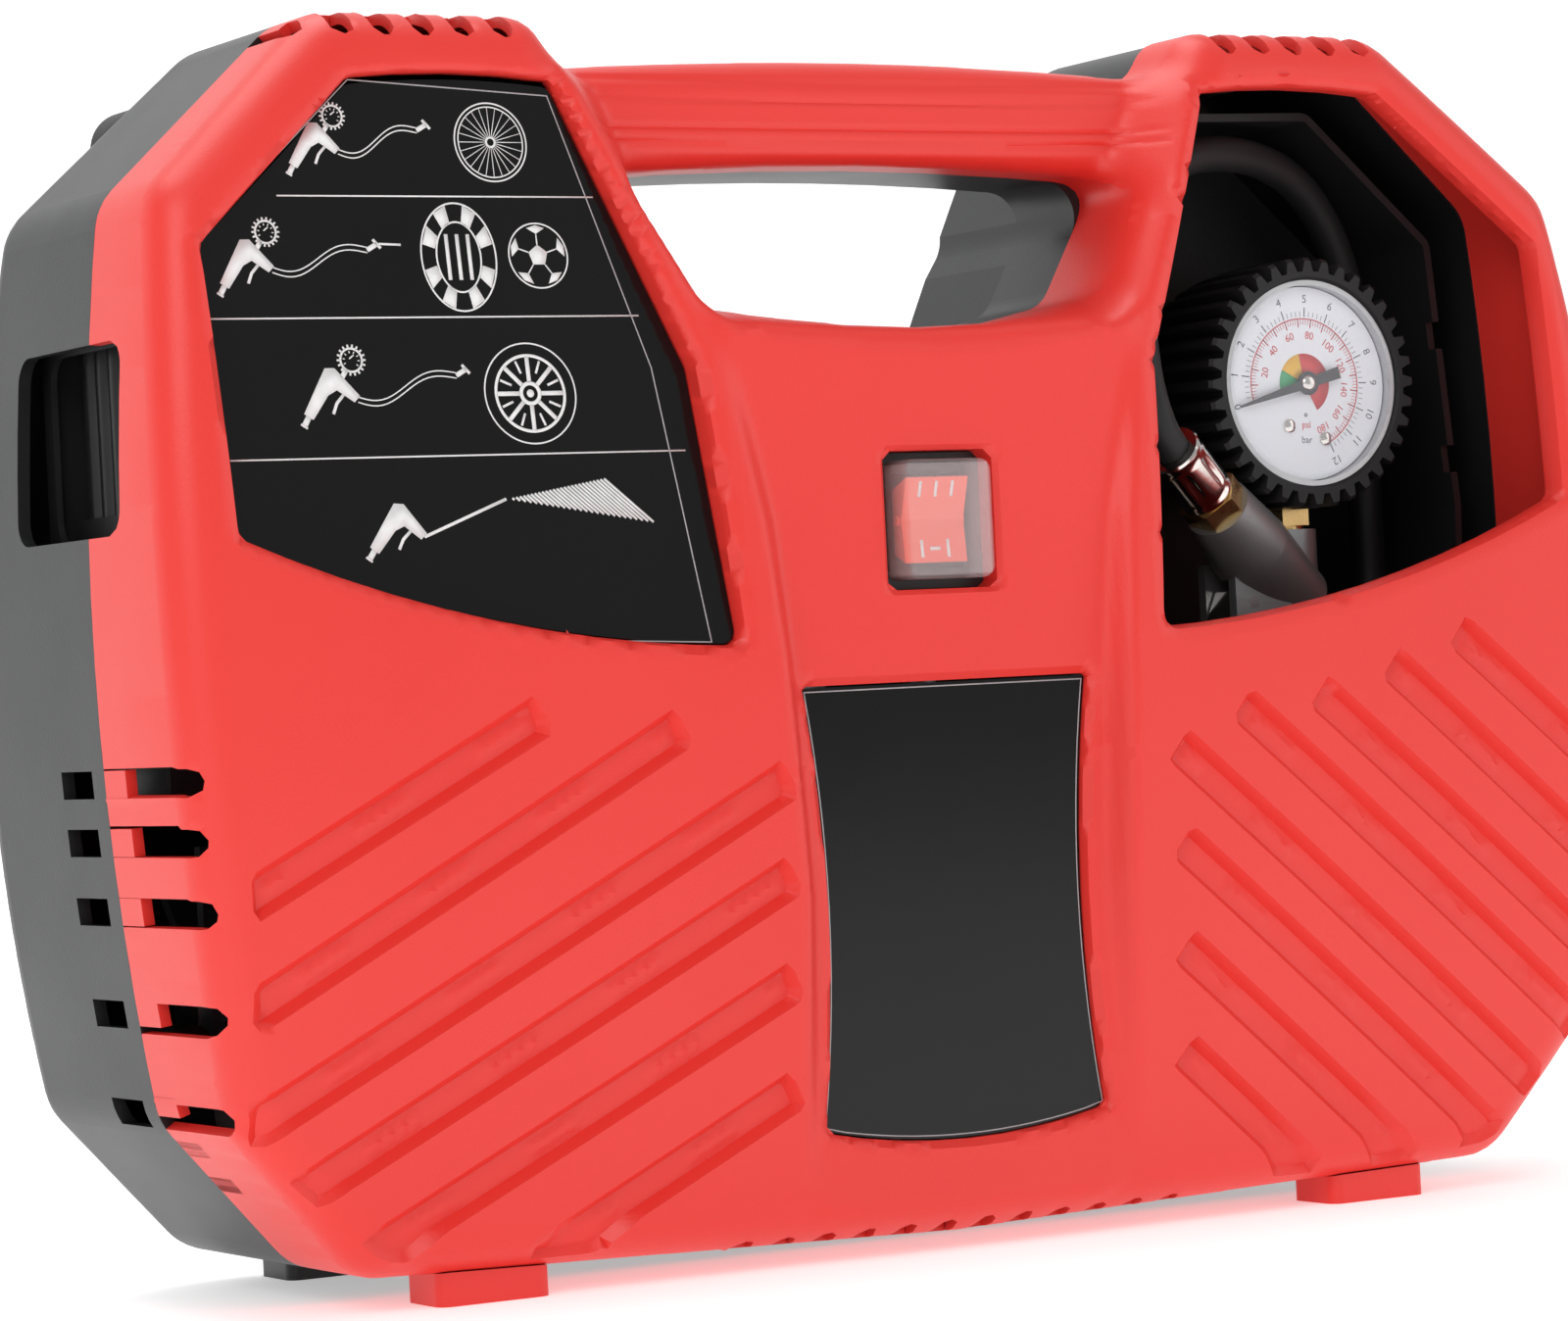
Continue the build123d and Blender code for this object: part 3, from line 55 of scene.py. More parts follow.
# ---- camera, floor and light --------------------------------------------------------------------
def make_camera():
    """Camera at the front left, level with the middle of the case and 1.2 m away."""
    turn, pitch, roll = math.radians(30.0), math.radians(0.338), math.radians(-2.899)
    right = np.array([math.cos(turn), -math.sin(turn), 0])
    ahead = np.array([math.sin(turn) * math.cos(pitch), math.cos(turn) * math.cos(pitch),
                      math.sin(pitch)])
    up = np.cross(right, ahead)
    image_right = math.cos(roll) * right + math.sin(roll) * up
    image_up = math.cos(roll) * up - math.sin(roll) * right
    data = bpy.data.cameras.new("camera")
    data.lens, data.sensor_width = 117.0, 36.0
    data.clip_end = 50
    camera = bpy.data.objects.new("camera", data)
    columns = np.column_stack([image_right, image_up, -ahead])
    matrix = Matrix(columns.tolist()).to_4x4()
    matrix.translation = (-0.6286, -1.0664, 0.1328)
    camera.matrix_world = matrix
    bpy.context.scene.collection.objects.link(camera)
    bpy.context.scene.camera = camera


def soft_light(name, place, target, width, height, power):
    """Rectangular studio light that faces a target."""
    data = bpy.data.lights.new(name, "AREA")
    data.shape, data.size, data.size_y, data.energy = "RECTANGLE", width, height, power
    light = bpy.data.objects.new(name, data)
    away = np.subtract(place, target)
    back = away / np.linalg.norm(away)
    side = np.cross([0, 0, 1], back)
    side /= np.linalg.norm(side)
    turned = Matrix(np.column_stack([side, np.cross(back, side), back]).tolist()).to_4x4()
    turned.translation = place
    light.matrix_world = turned
    bpy.context.scene.collection.objects.link(light)


def make_studio():
    """White floor that curves up into a backdrop, a pale sky and three soft lights."""
    world = bpy.data.worlds.new("studio")
    world.use_nodes = True
    sky = world.node_tree.nodes["Background"]
    sky.inputs["Color"].default_value = (1, 1, 1, 1)
    sky.inputs["Strength"].default_value = 0.45
    bpy.context.scene.world = world
    bpy.context.scene.view_settings.view_transform = "Standard"
    depth = np.concatenate([[-4.0], 1.6 + 1.4 * np.sin(np.linspace(0, TAU / 4, 12)), [3.0]])
    height = np.concatenate([[0.0], 1.4 - 1.4 * np.cos(np.linspace(0, TAU / 4, 12)), [4.0]])
    across = np.array([-7.0, 7.0])
    grid = np.stack([np.tile(across, (len(depth), 1)), np.tile(depth[:, None], (1, 2)),
                     np.tile(height[:, None], (1, 2))], axis=2)
    sweep = grid_mesh("backdrop", grid / MM, closed=(False, False))
    sweep.data.materials.append(paper_white())
    soft_light("key", (-1.5, -1.6, 1.5), (0, 0, 0.15), 1.4, 1.4, 22)
    soft_light("fill", (1.9, -1.3, 0.9), (0, 0, 0.15), 1.6, 1.6, 9)
    soft_light("top", (-0.2, 0.5, 2.0), (0, 0, 0.2), 1.6, 1.2, 19)


# ---- materials ----------------------------------------------------------------------------------
def new_material(name):
    """Material with a Principled shader. Returns it, its tree and the shader."""
    material = bpy.data.materials.new(name)
    material.use_nodes = True
    tree = material.node_tree
    return material, tree, tree.nodes["Principled BSDF"]


def noise(tree, scale, detail=2.0, stretch=(1, 1, 1)):
    """Noise over Object coordinates, with scale in features per metre."""
    place = tree.nodes.new("ShaderNodeTexCoord")
    mapping = tree.nodes.new("ShaderNodeMapping")
    mapping.inputs["Scale"].default_value = stretch
    tree.links.new(place.outputs["Object"], mapping.inputs["Vector"])
    texture = tree.nodes.new("ShaderNodeTexNoise")
    texture.inputs["Scale"].default_value = scale
    texture.inputs["Detail"].default_value = detail
    tree.links.new(mapping.outputs["Vector"], texture.inputs["Vector"])
    return texture.outputs["Fac"]


def ramp(tree, factor, low, high, start=0.3, end=0.7):
    """Colour that runs from low to high as the factor runs from start to end."""
    node = tree.nodes.new("ShaderNodeValToRGB")
    node.color_ramp.elements[0].position, node.color_ramp.elements[1].position = start, end
    node.color_ramp.elements[0].color = (*low, 1)
    node.color_ramp.elements[1].color = (*high, 1)
    tree.links.new(factor, node.inputs["Fac"])
    return node.outputs["Color"]


def spread(tree, factor, low, high):
    """Number that runs from low to high with the factor."""
    node = tree.nodes.new("ShaderNodeMapRange")
    node.inputs["To Min"].default_value, node.inputs["To Max"].default_value = low, high
    tree.links.new(factor, node.inputs["Value"])
    return node.outputs["Result"]


def grain(tree, shader, scale, depth, detail=2.0, stretch=(1, 1, 1)):
    """Fine bumps, depth in millimetres."""
    bump = tree.nodes.new("ShaderNodeBump")
    bump.inputs["Strength"].default_value = 1.0
    bump.inputs["Distance"].default_value = depth * MM
    tree.links.new(noise(tree, scale, detail, stretch), bump.inputs["Height"])
    tree.links.new(bump.outputs["Normal"], shader.inputs["Normal"])


def moulded_plastic(name, colour, shade, rough=(0.36, 0.46), scale=1500, depth=0.05,
                    specular=0.5):
    """Moulded plastic with a fine eroded texture and a faint drift of colour."""
    material, tree, shader = new_material(name)
    tint = ramp(tree, noise(tree, 9, 3), shade, colour)
    tree.links.new(tint, shader.inputs["Base Color"])
    tree.links.new(spread(tree, noise(tree, 30, 4), *rough), shader.inputs["Roughness"])
    shader.inputs["Specular IOR Level"].default_value = specular
    grain(tree, shader, scale, depth)
    return material


def metal(name, colour, shade, rough, scale=60, stretch=(1, 1, 1), depth=0.01, metallic=1.0):
    """Metal whose tone and roughness drift a little, with fine tool marks."""
    material, tree, shader = new_material(name)
    shader.inputs["Metallic"].default_value = metallic
    tint = ramp(tree, noise(tree, scale, 4, stretch), shade, colour)
    tree.links.new(tint, shader.inputs["Base Color"])
    tree.links.new(spread(tree, noise(tree, 3 * scale, 3, stretch), *rough),
                   shader.inputs["Roughness"])
    grain(tree, shader, 20 * scale, depth, 2, stretch)
    return material


def clear_plastic(name, tint, rough, cover):
    """Thin clear moulding: a glossy skin that covers only a share of what lies behind it."""
    material, tree, shader = new_material(name)
    shader.inputs["Base Color"].default_value = (*tint, 1)
    shader.inputs["Alpha"].default_value = cover
    shader.inputs["IOR"].default_value = 1.46
    tree.links.new(spread(tree, noise(tree, 40, 3), *rough), shader.inputs["Roughness"])
    grain(tree, shader, 90, 0.02)
    return material


def paper_white():
    """Matt white studio paper."""
    material, tree, shader = new_material("paper_white")
    tint = ramp(tree, noise(tree, 2), (0.93, 0.93, 0.93), (0.95, 0.95, 0.95))
    tree.links.new(tint, shader.inputs["Base Color"])
    shader.inputs["Roughness"].default_value = 0.9
    shader.inputs["Emission Color"].default_value = (1, 1, 1, 1)
    shader.inputs["Emission Strength"].default_value = 0.42
    return material


RED, RED_SHADE = (0.76, 0.036, 0.027), (0.73, 0.031, 0.023)
LOOKS = {
    "red_plastic": (moulded_plastic, RED, RED_SHADE),
    "grey_plastic": (moulded_plastic, (0.011, 0.0115, 0.0125), (0.009, 0.0095, 0.0105),
                     (0.36, 0.46)),
    "black_plastic": (moulded_plastic, (0.010, 0.010, 0.011), (0.007, 0.007, 0.008),
                      (0.42, 0.55), 1100),
    "gloss_black": (moulded_plastic, (0.0040, 0.0040, 0.0044), (0.003, 0.003, 0.0033),
                    (0.10, 0.16), 55, 0.012, 0.3),
    "clear_cap": (clear_plastic, (0.9, 0.78, 0.78), (0.10, 0.2), 0.16),
    "lens": (clear_plastic, (0.9, 0.93, 1.0), (0.02, 0.05), 0.07),
    "rocker_red": (moulded_plastic, (0.90, 0.10, 0.035), (0.85, 0.08, 0.03), (0.18, 0.28), 300,
                   0.01),
    "rubber": (moulded_plastic, (0.014, 0.014, 0.015), (0.010, 0.010, 0.011), (0.48, 0.62), 700,
               0.04, 0.35),
    "lead_sheath": (moulded_plastic, (0.012, 0.012, 0.013), (0.009, 0.009, 0.010),
                    (0.22, 0.34), 400, 0.02),
    "capacitor_white": (moulded_plastic, (0.72, 0.72, 0.70), (0.66, 0.66, 0.64), (0.3, 0.4)),
    "dial_white": (moulded_plastic, (0.80, 0.82, 0.86), (0.77, 0.79, 0.83), (0.3, 0.36), 800,
                   0.004),
    "fan_plastic": (moulded_plastic, (0.05, 0.05, 0.055), (0.04, 0.04, 0.045)),
    "needle_black": (moulded_plastic, (0.01, 0.01, 0.01), (0.014, 0.014, 0.014), (0.3, 0.4),
                     400, 0.01),
    "cast_alloy": (metal, (0.34, 0.345, 0.35), (0.29, 0.295, 0.30), (0.34, 0.46), 40,
                   (1, 1, 1), 0.05, 0.75),
    "nickel": (metal, (0.74, 0.70, 0.66), (0.66, 0.62, 0.58), (0.10, 0.2), 50),
    "brass": (metal, (0.78, 0.55, 0.25), (0.66, 0.44, 0.18), (0.22, 0.34), 80),
    "steel": (metal, (0.52, 0.52, 0.53), (0.44, 0.44, 0.45), (0.25, 0.4), 60, (1, 6, 6)),
    "zinc_screws": (metal, (0.42, 0.42, 0.43), (0.34, 0.34, 0.35), (0.28, 0.42)),
    "aluminium": (metal, (0.60, 0.61, 0.62), (0.52, 0.53, 0.54), (0.38, 0.52), 30,
                  (1, 1, 1), 0.06),
    "laminations": (metal, (0.30, 0.30, 0.32), (0.16, 0.16, 0.17), (0.4, 0.55), 900,
                    (1, 0.01, 0.01)),
    "copper_coils": (metal, (0.62, 0.24, 0.09), (0.42, 0.14, 0.05), (0.25, 0.4), 500,
                     (1, 0.2, 0.2), 0.1),
}
FINISHES = {name: maker(name, *look) for name, (maker, *look) in LOOKS.items()}


# ---- meshes -------------------------------------------------------------------------------------
def mesh_piece(name, points, faces, smooth_angle=35):
    """Object from points in millimetres. Edges sharper than smooth_angle degrees stay crisp."""
    mesh = bpy.data.meshes.new(name)
    mesh.from_pydata((np.asarray(points) * MM).tolist(), [], faces)
    mesh.polygons.foreach_set("use_smooth", [True] * len(mesh.polygons))
    mesh.update()
    mesh.set_sharp_from_angle(angle=math.radians(smooth_angle))
    piece = bpy.data.objects.new(name, mesh)
    bpy.context.scene.collection.objects.link(piece)
    return piece


def grid_faces(rows, columns, closed=(False, False)):
    """Quads of a grid of points numbered row by row, joined end to end where closed."""
    down = np.arange(rows if closed[0] else rows - 1)[:, None]
    along = np.arange(columns if closed[1] else columns - 1)[None, :]
    next_down, next_along = (down + 1) % rows, (along + 1) % columns
    corners = [down * columns + along, down * columns + next_along,
               next_down * columns + next_along, next_down * columns + along]
    return np.stack(corners, axis=-1).reshape(-1, 4).tolist()


def grid_mesh(name, points, closed=(False, True), smooth_angle=35):
    """Piece over a grid of points (rows, columns, 3)."""
    points = np.asarray(points, float)
    rows, columns = points.shape[:2]
    return mesh_piece(name, points.reshape(-1, 3), grid_faces(rows, columns, closed),
                      smooth_angle)


def show(piece, slot, body="casing", stands_for=(), finish=None):
    """Gives a piece its finish and its body, and hides the CAD nodes that it stands for."""
    piece.data.materials.append(finish or FINISHES[slot])
    if stands_for:
        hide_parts(*stands_for)
    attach(piece, body)
    return piece


# radial axes and depth axis of a round piece that faces the front: right, up and towards -Y
FACING = np.column_stack([(1, 0, 0), (0, 0, 1), (0, -1, 0)])


def revolve(name, stations, segments, radius=None, centre=(0, 0, 0), frame_axes=None,
            smooth_angle=35):
    """Surface of revolution: station (depth, r) turned round the axis in even angles.

    radius(turns, depth, r) may change the radius with the angle. The frame's columns are the two
    radial axes and the depth axis, and stations of radius 0 close to a single point.
    """
    stations = np.asarray(stations, float)
    turns = np.linspace(0, TAU, segments, endpoint=False)[None, :]
    depth, r = stations[:, :1] + 0 * turns, stations[:, 1:] + 0 * turns
    r = np.where(r > 0, radius(turns, depth, r), 0) if radius else r
    local = np.stack([r * np.cos(turns), r * np.sin(turns), depth], axis=2)
    axes = FACING if frame_axes is None else frame_axes
    piece = grid_mesh(name, local @ np.asarray(axes).T + np.asarray(centre, float),
                      (False, True), smooth_angle)
    merge(piece, smooth_angle)
    return piece


def merge(piece, smooth_angle=35):
    """Joins points that lie on each other, so that poles and seams are closed."""
    work = bmesh.new()
    work.from_mesh(piece.data)
    bmesh.ops.remove_doubles(work, verts=work.verts, dist=1e-6)
    bmesh.ops.dissolve_degenerate(work, edges=work.edges, dist=1e-7)
    bmesh.ops.recalc_face_normals(work, faces=work.faces)
    work.to_mesh(piece.data)
    work.free()
    piece.data.set_sharp_from_angle(angle=math.radians(smooth_angle))


# ---- printed artwork ----------------------------------------------------------------------------
class Artwork:
    """Flat print in a plane's own two axes, in millimetres, made into one thin solid piece."""

    def __init__(self):
        self.points, self.faces, self.count = [], [], 0

    def add(self, points, faces):
        self.points.append(np.asarray(points, float))
        self.faces += [[corner + self.count for corner in face] for face in faces]
        self.count += len(points)

    def area(self, outline):
        """Filled convex or simple outline, as one face."""
        self.add(outline, [list(range(len(outline)))])

    def stroke(self, route, width, closed=False):
        """Line of even width: each point moves half the width to both sides of its direction."""
        route = np.asarray(route, float)
        if closed:
            ahead, behind = np.roll(route, -1, 0), np.roll(route, 1, 0)
        else:
            ahead, behind = np.vstack([route[1:], route[-1:]]), np.vstack([route[:1], route[:-1]])
        steps = [ahead - route, route - behind]
        steps = [step / np.maximum(np.linalg.norm(step, axis=1, keepdims=True), 1e-9)
                 for step in steps]
        along = steps[0] + steps[1]
        along /= np.linalg.norm(along, axis=1, keepdims=True)
        reach = np.maximum(np.abs(np.sum(along * np.where(steps[0].any(1, keepdims=True),
                                                          steps[0], steps[1]), axis=1)), 0.5)
        side = np.stack([-along[:, 1], along[:, 0]], axis=1) / reach[:, None] * width / 2
        edge = np.stack([route - side, route + side])
        faces = grid_faces(2, len(route), (False, closed))
        self.add(edge.reshape(-1, 2), faces)

    def ring(self, centre, radius, width, start=0, end=360, squash=1.0):
        """Circular line, or part of one, from one angle to another in degrees."""
        whole = abs(end - start) >= 360
        steps = max(int(abs(end - start) / 6), 4)
        angles = np.radians(np.linspace(start, end, steps + 1)[:-1 if whole else None])
        route = np.stack([np.cos(angles), np.sin(angles) * squash], 1) * radius + centre
        self.stroke(route, width, whole)

    def disc(self, centre, radius, squash=1.0):
        angles = np.linspace(0, TAU, 40, endpoint=False)
        self.area(np.stack([np.cos(angles), np.sin(angles) * squash], 1) * radius + centre)

    def sector(self, centre, inner, outer, start, end):
        """Part of a flat ring between two radii and two angles in degrees."""
        angles = np.radians(np.linspace(start, end, max(int(abs(end - start) / 5), 2)))
        unit = np.stack([np.cos(angles), np.sin(angles)], 1)
        edge = np.stack([unit * inner + centre, unit * outer + centre])
        self.add(edge.reshape(-1, 2), grid_faces(2, len(angles), (False, False)))

    def rays(self, centre, inner, outer, width, angles):
        """Short straight strokes along the given angles in degrees."""
        for angle in np.radians(angles):
            unit = np.array([math.cos(angle), math.sin(angle)])
            self.stroke([unit * inner + centre, unit * outer + centre], width)

    def words(self, text, centre, size, turn=0.0):
        """Text centred on a point."""
        data = bpy.data.curves.new("words", "FONT")
        data.body, data.size = text, size
        data.align_x, data.align_y, data.resolution_u = "CENTER", "CENTER", 3
        carrier = bpy.data.objects.new("words", data)
        mesh = bpy.data.meshes.new_from_object(carrier)
        flat = np.empty(len(mesh.vertices) * 3)
        mesh.vertices.foreach_get("co", flat)
        flat = flat.reshape(-1, 3)[:, :2]
        spin = np.array([[math.cos(turn), -math.sin(turn)], [math.sin(turn), math.cos(turn)]])
        self.add(flat @ spin.T + centre, [list(face.vertices) for face in mesh.polygons])
        bpy.data.objects.remove(carrier)
        bpy.data.curves.remove(data)
        bpy.data.meshes.remove(mesh)

    def piece(self, name, place, thickness=0.06):
        """Mesh of all the print: place turns its flat points into space, then a thin wall."""
        flat = np.vstack(self.points)
        piece = mesh_piece(name, place(flat), self.faces)
        wall = piece.modifiers.new("thickness", "SOLIDIFY")
        wall.thickness, wall.offset, wall.use_even_offset = thickness * MM, 1.0, False
        face_front(piece)
        return piece


def harden(piece, smooth_angle):
    """Makes a piece's modifiers part of its mesh, and keeps the edges of its wall crisp."""
    bpy.context.view_layer.update()
    view = piece.evaluated_get(bpy.context.evaluated_depsgraph_get())
    mesh = bpy.data.meshes.new_from_object(view)
    piece.modifiers.clear()
    piece.data = mesh
    mesh.set_sharp_from_angle(angle=math.radians(smooth_angle))


def face_front(piece):
    """Turns flat faces so that they look towards the front."""
    mesh = piece.data
    normals = np.empty(len(mesh.polygons) * 3)
    mesh.polygons.foreach_get("normal", normals)
    work = bmesh.new()
    work.from_mesh(mesh)
    work.faces.ensure_lookup_table()
    back = np.nonzero(normals.reshape(-1, 3)[:, 1] > 0)[0]
    bmesh.ops.reverse_faces(work, faces=[work.faces[index] for index in back])
    work.to_mesh(mesh)
    work.free()


PANEL_LEAN = math.radians(8)
PRINT_GAP = 0.02                    # print stands this far in front of what it is on


def panel_seat(z):
    """y of the seat that the pictogram panel lies on, at a height."""
    return -56.5 + (z - 143.5) * math.tan(PANEL_LEAN)


def on_panel(flat):
    """Pictogram panel: x stays, height is z, and the face leans back by PANEL_LEAN."""
    y = panel_seat(flat[:, 1]) - 1.0 / math.cos(PANEL_LEAN) - PRINT_GAP
    return np.stack([flat[:, 0], y, flat[:, 1]], axis=1)


def on_label(flat):
    """Centre label: an upright plane just in front of its face."""
    return np.stack([flat[:, 0], 0 * flat[:, 0] - 52.02, flat[:, 1]], axis=1)


GAUGE = (129.6, -26.0, 203.4)      # middle of the boot's front


def on_dial(flat):
    """Dial: an upright plane just in front of the dial, centred on the gauge."""
    return np.stack([flat[:, 0] + GAUGE[0], 0 * flat[:, 0] - 22.04, flat[:, 1] + GAUGE[2]],
                    axis=1)


def air_tool(print_, foot, head, scale, gauge=True):
    """Pictogram of a trigger tool: grip from foot to head, barrel to the right, and a gauge."""
    foot, head = np.asarray(foot, float), np.asarray(head, float)
    slope = (head - foot) / np.linalg.norm(head - foot)
    side = np.array([slope[1], -slope[0]])

    def local(points):
        return [head + scale * (px * side + pz * slope) for px, pz in points]
    print_.area(local([(-1.6, 0.6), (0.6, 2.0), (9.5, -0.6), (9.0, -2.8), (3.6, -2.6),
                       (2.2, -5.0), (1.5, -12.5), (-1.3, -12.5), (-1.5, -5.0)]))
    print_.stroke(local([(0.1, -12.5), (0.1, -15.0)]), 1.5 * scale)
    print_.stroke(local([(-0.9, -15.2), (1.1, -15.2)]), 0.6 * scale)
    print_.stroke(local([(5.6, -2.6), (5.0, -5.6), (5.4, -8.4)]), 0.8 * scale)
    if gauge:
        centre = local([(3.6, 6.2)])[0]
        print_.stroke(local([(3.4, 1.0), (3.5, 3.4)]), 1.3 * scale)
        print_.ring(centre, 2.9 * scale, 0.55 * scale)
        print_.rays(centre, 2.9 * scale, 3.9 * scale, 0.5 * scale, range(0, 360, 20))
        print_.rays(centre, 1.7 * scale, 2.3 * scale, 0.25 * scale, range(-40, 240, 35))
        print_.stroke([centre - 0.6 * scale * side, centre + 1.5 * scale * slope], 0.35 * scale)
    return local([(9.4, -1.7)])[0]


def pictured_hose(print_, start, end, width):
    """Pictogram of a wavy hose with a small head at its end: a line with one slow wave."""
    share = np.linspace(0, 1, 22)
    start, end = np.asarray(start), np.asarray(end)
    middle = start + share[:, None] * (end - start)
    middle[:, 1] -= 2.1 * np.sin(share * TAU) * (1 - 0.3 * share)
    for offset in (-0.5, 0.5):
        lane = middle.copy()
        lane[:, 1] += offset * width
        print_.stroke(lane, 0.28)
    print_.stroke([end, end + (2.6, 1.4)], 1.1)
    print_.stroke([end + (1.6, 2.4), end + (3.4, 0.4)], 0.7)


def make_pictograms():
    """White print on the pictogram panel: four rows that show what the tool can inflate."""
    art = Artwork()
    for height, left, right in ((247.2, -160.5, -81.8), (219.8, -180.6, -73.6),
                                (188.6, -178.4, -65.6)):
        art.stroke([(left, height), (right, height)], 0.35)
    tip = air_tool(art, (-158.0, 250.6), (-150.2, 262.6), 0.82)
    pictured_hose(art, tip, (-124.5, 262.2), 1.1)
    wheel = (-106.3, 259.7)
    art.ring(wheel, 9.0, 0.35)
    art.ring(wheel, 8.1, 0.3)
    art.ring(wheel, 1.1, 0.5)
    art.rays(wheel, 1.2, 8.0, 0.16, range(0, 360, 15))
    tip = air_tool(art, (-177.8, 223.2), (-169.6, 236.2), 0.86)
    pictured_hose(art, tip, (-140.0, 235.0), 1.2)
    art.stroke([(-137.0, 236.4), (-131.6, 236.2)], 0.5)
    tyre = (-117.5, 233.4)
    art.ring(tyre, 9.3, 0.4, squash=1.32)
    art.ring(tyre, 5.5, 0.4, squash=1.45)
    for angle in (25, 65, 115, 155, 205, 245, 295, 335):
        turn = np.radians(angle + np.array([-11, 11, 11, -11]))
        reach = np.array([5.9, 5.9, 9.0, 9.0])
        art.area(np.stack([np.cos(turn) * reach, np.sin(turn) * reach * 1.35], 1) + tyre)
    for x in (-120.2, -117.5, -114.8):
        art.stroke([(x, 228.2), (x, 238.6)], 0.9)
    ball = (-97.5, 233.7)
    art.ring(ball, 7.4, 0.35)
    turn = np.radians(np.arange(90, 450, 72))
    star = np.stack([np.cos(turn), np.sin(turn)], 1)
    art.area(star * 2.5 + ball)
    for ray in star:
        aside = 0.36 * np.array([-ray[1], ray[0]])
        art.stroke([ray * 2.5 + ball, ray * 5.0 + ball], 0.3)
        art.area([ray * 7.0 + ball, (ray + aside) * 6.3 + ball, ray * 5.0 + ball,
                  (ray - aside) * 6.3 + ball])
    tip = air_tool(art, (-161.4, 193.6), (-152.6, 207.4), 0.9)
    pictured_hose(art, tip, (-121.5, 206.6), 1.2)
    hub = np.array([-103.5, 202.3])
    art.ring(hub, 11.4, 0.35)
    art.ring(hub, 8.6, 0.7)
    art.ring(hub, 2.3, 0.9)
    art.rays(hub, 2.6, 8.4, 1.0, range(0, 360, 45))
    art.rays(hub, 4.9, 7.9, 0.55, range(22, 382, 45))
    art.disc(hub, 0.9)
    tip = air_tool(art, (-148.4, 165.4), (-139.6, 177.0), 0.9, gauge=False)
    art.stroke([tip, (-112.6, 178.6)], 0.7)
    for share in np.linspace(0.04, 1, 26):
        low = np.array([-112.0, 178.6]) + share * np.array([36.0, -6.2])
        high = np.array([-112.0, 178.6]) + share * np.array([24.6, 4.0])
        art.stroke([low, high], 0.55)
    show(art.piece("pictogram_print", on_panel), "dial_white", finish=PRINTS["white"])
    edge = Artwork()
    edge.stroke([(-64.7, 144.6), (-71.9, 207.7), (-90.6, 270.6), (-140.2, 273.6), (-181.2, 236.6),
                 (-178.9, 171.6), (-150.5, 158.6), (-121.0, 150.4), (-92.5, 146.0)], 0.3, True)
    show(edge.piece("panel_edge_line", on_panel), "dial_white", finish=PRINTS["silver"])
    rim = Artwork()
    arc = np.linspace(-1, 1, 17)
    side = 34.3 + 3.9 * (np.linspace(-1, 1, 15) ** 2)
    down = np.linspace(132.1, 31.6, 15)
    foot = np.stack([-37.6 * arc, 27.2 + 4.0 * arc ** 2], 1)[1:-1]
    rim.stroke(np.vstack([np.stack([side, down], 1), foot,
                          np.stack([-side, down], 1)[::-1]]), 0.3, True)
    show(rim.piece("label_edge_line", on_label), "dial_white", finish=PRINTS["silver"])


def make_dial():
    """Printed dial: an outer grey scale to 12, an inner red scale to 180, a coloured hub."""
    start, sweep = 195.0, 260.0
    grey, red, green, amber = Artwork(), Artwork(), Artwork(), Artwork()
    outer = start - sweep * np.arange(0, 61) / 60
    grey.rays((0, 0), 16.9, 18.2, 0.14, outer)
    grey.rays((0, 0), 16.9, 19.2, 0.28, outer[::5])
    for number in range(0, 13):
        angle = math.radians(start - sweep * number / 12)
        grey.words(str(number), (21.3 * math.cos(angle), 21.3 * math.sin(angle)), 2.9,
                   angle - TAU / 4)
    inner = start - sweep * np.arange(0, 91) / 90
    red.ring((0, 0), 16.4, 0.28, start, start - sweep)
    red.rays((0, 0), 14.9, 16.4, 0.14, inner)
    red.rays((0, 0), 14.2, 16.4, 0.3, inner[::5])
    for number in range(0, 181, 20):
        angle = math.radians(start - sweep * number / 180)
        red.words(str(number), (12.2 * math.cos(angle), 12.2 * math.sin(angle)), 2.7,
                  angle - TAU / 4)
    red.words("psi", (0, -10.4), 2.5)
    red.sector((0, 0), 0.8, 7.6, 100, -62)
    green.sector((0, 0), 0.8, 7.6, 198, 152)
    amber.sector((0, 0), 0.8, 7.6, 152, 100)
    grey.words("bar", (0, -14.2), 2.5)
    grey.ring((0, -7.9), 0.35, 0.3)
    for name, art, finish in (("dial_scale_grey", grey, "grey"), ("dial_scale_red", red, "red"),
                              ("dial_sector_green", green, "green"),
                              ("dial_sector_amber", amber, "amber")):
        show(art.piece(name, on_dial, 0.03), "dial_white", finish=PRINTS[finish])
    screws = [(0, 1.75), (0.7, 1.7), (1.0, 1.2), (1.15, 0)]
    for name, spot in (("dial_screw_left", (-5.4, -10.6)), ("dial_screw_right", (5.6, -14.0))):
        head = revolve(name, [(-0.3, 0)] + [(depth - 0.3, r) for depth, r in screws], 24,
                       lambda turns, depth, r: r * (1 - 0.12 * (np.cos(2 * turns) > 0.97)),
                       centre=(GAUGE[0] + spot[0], -22.2, GAUGE[2] + spot[1]))
        show(head, "nickel")


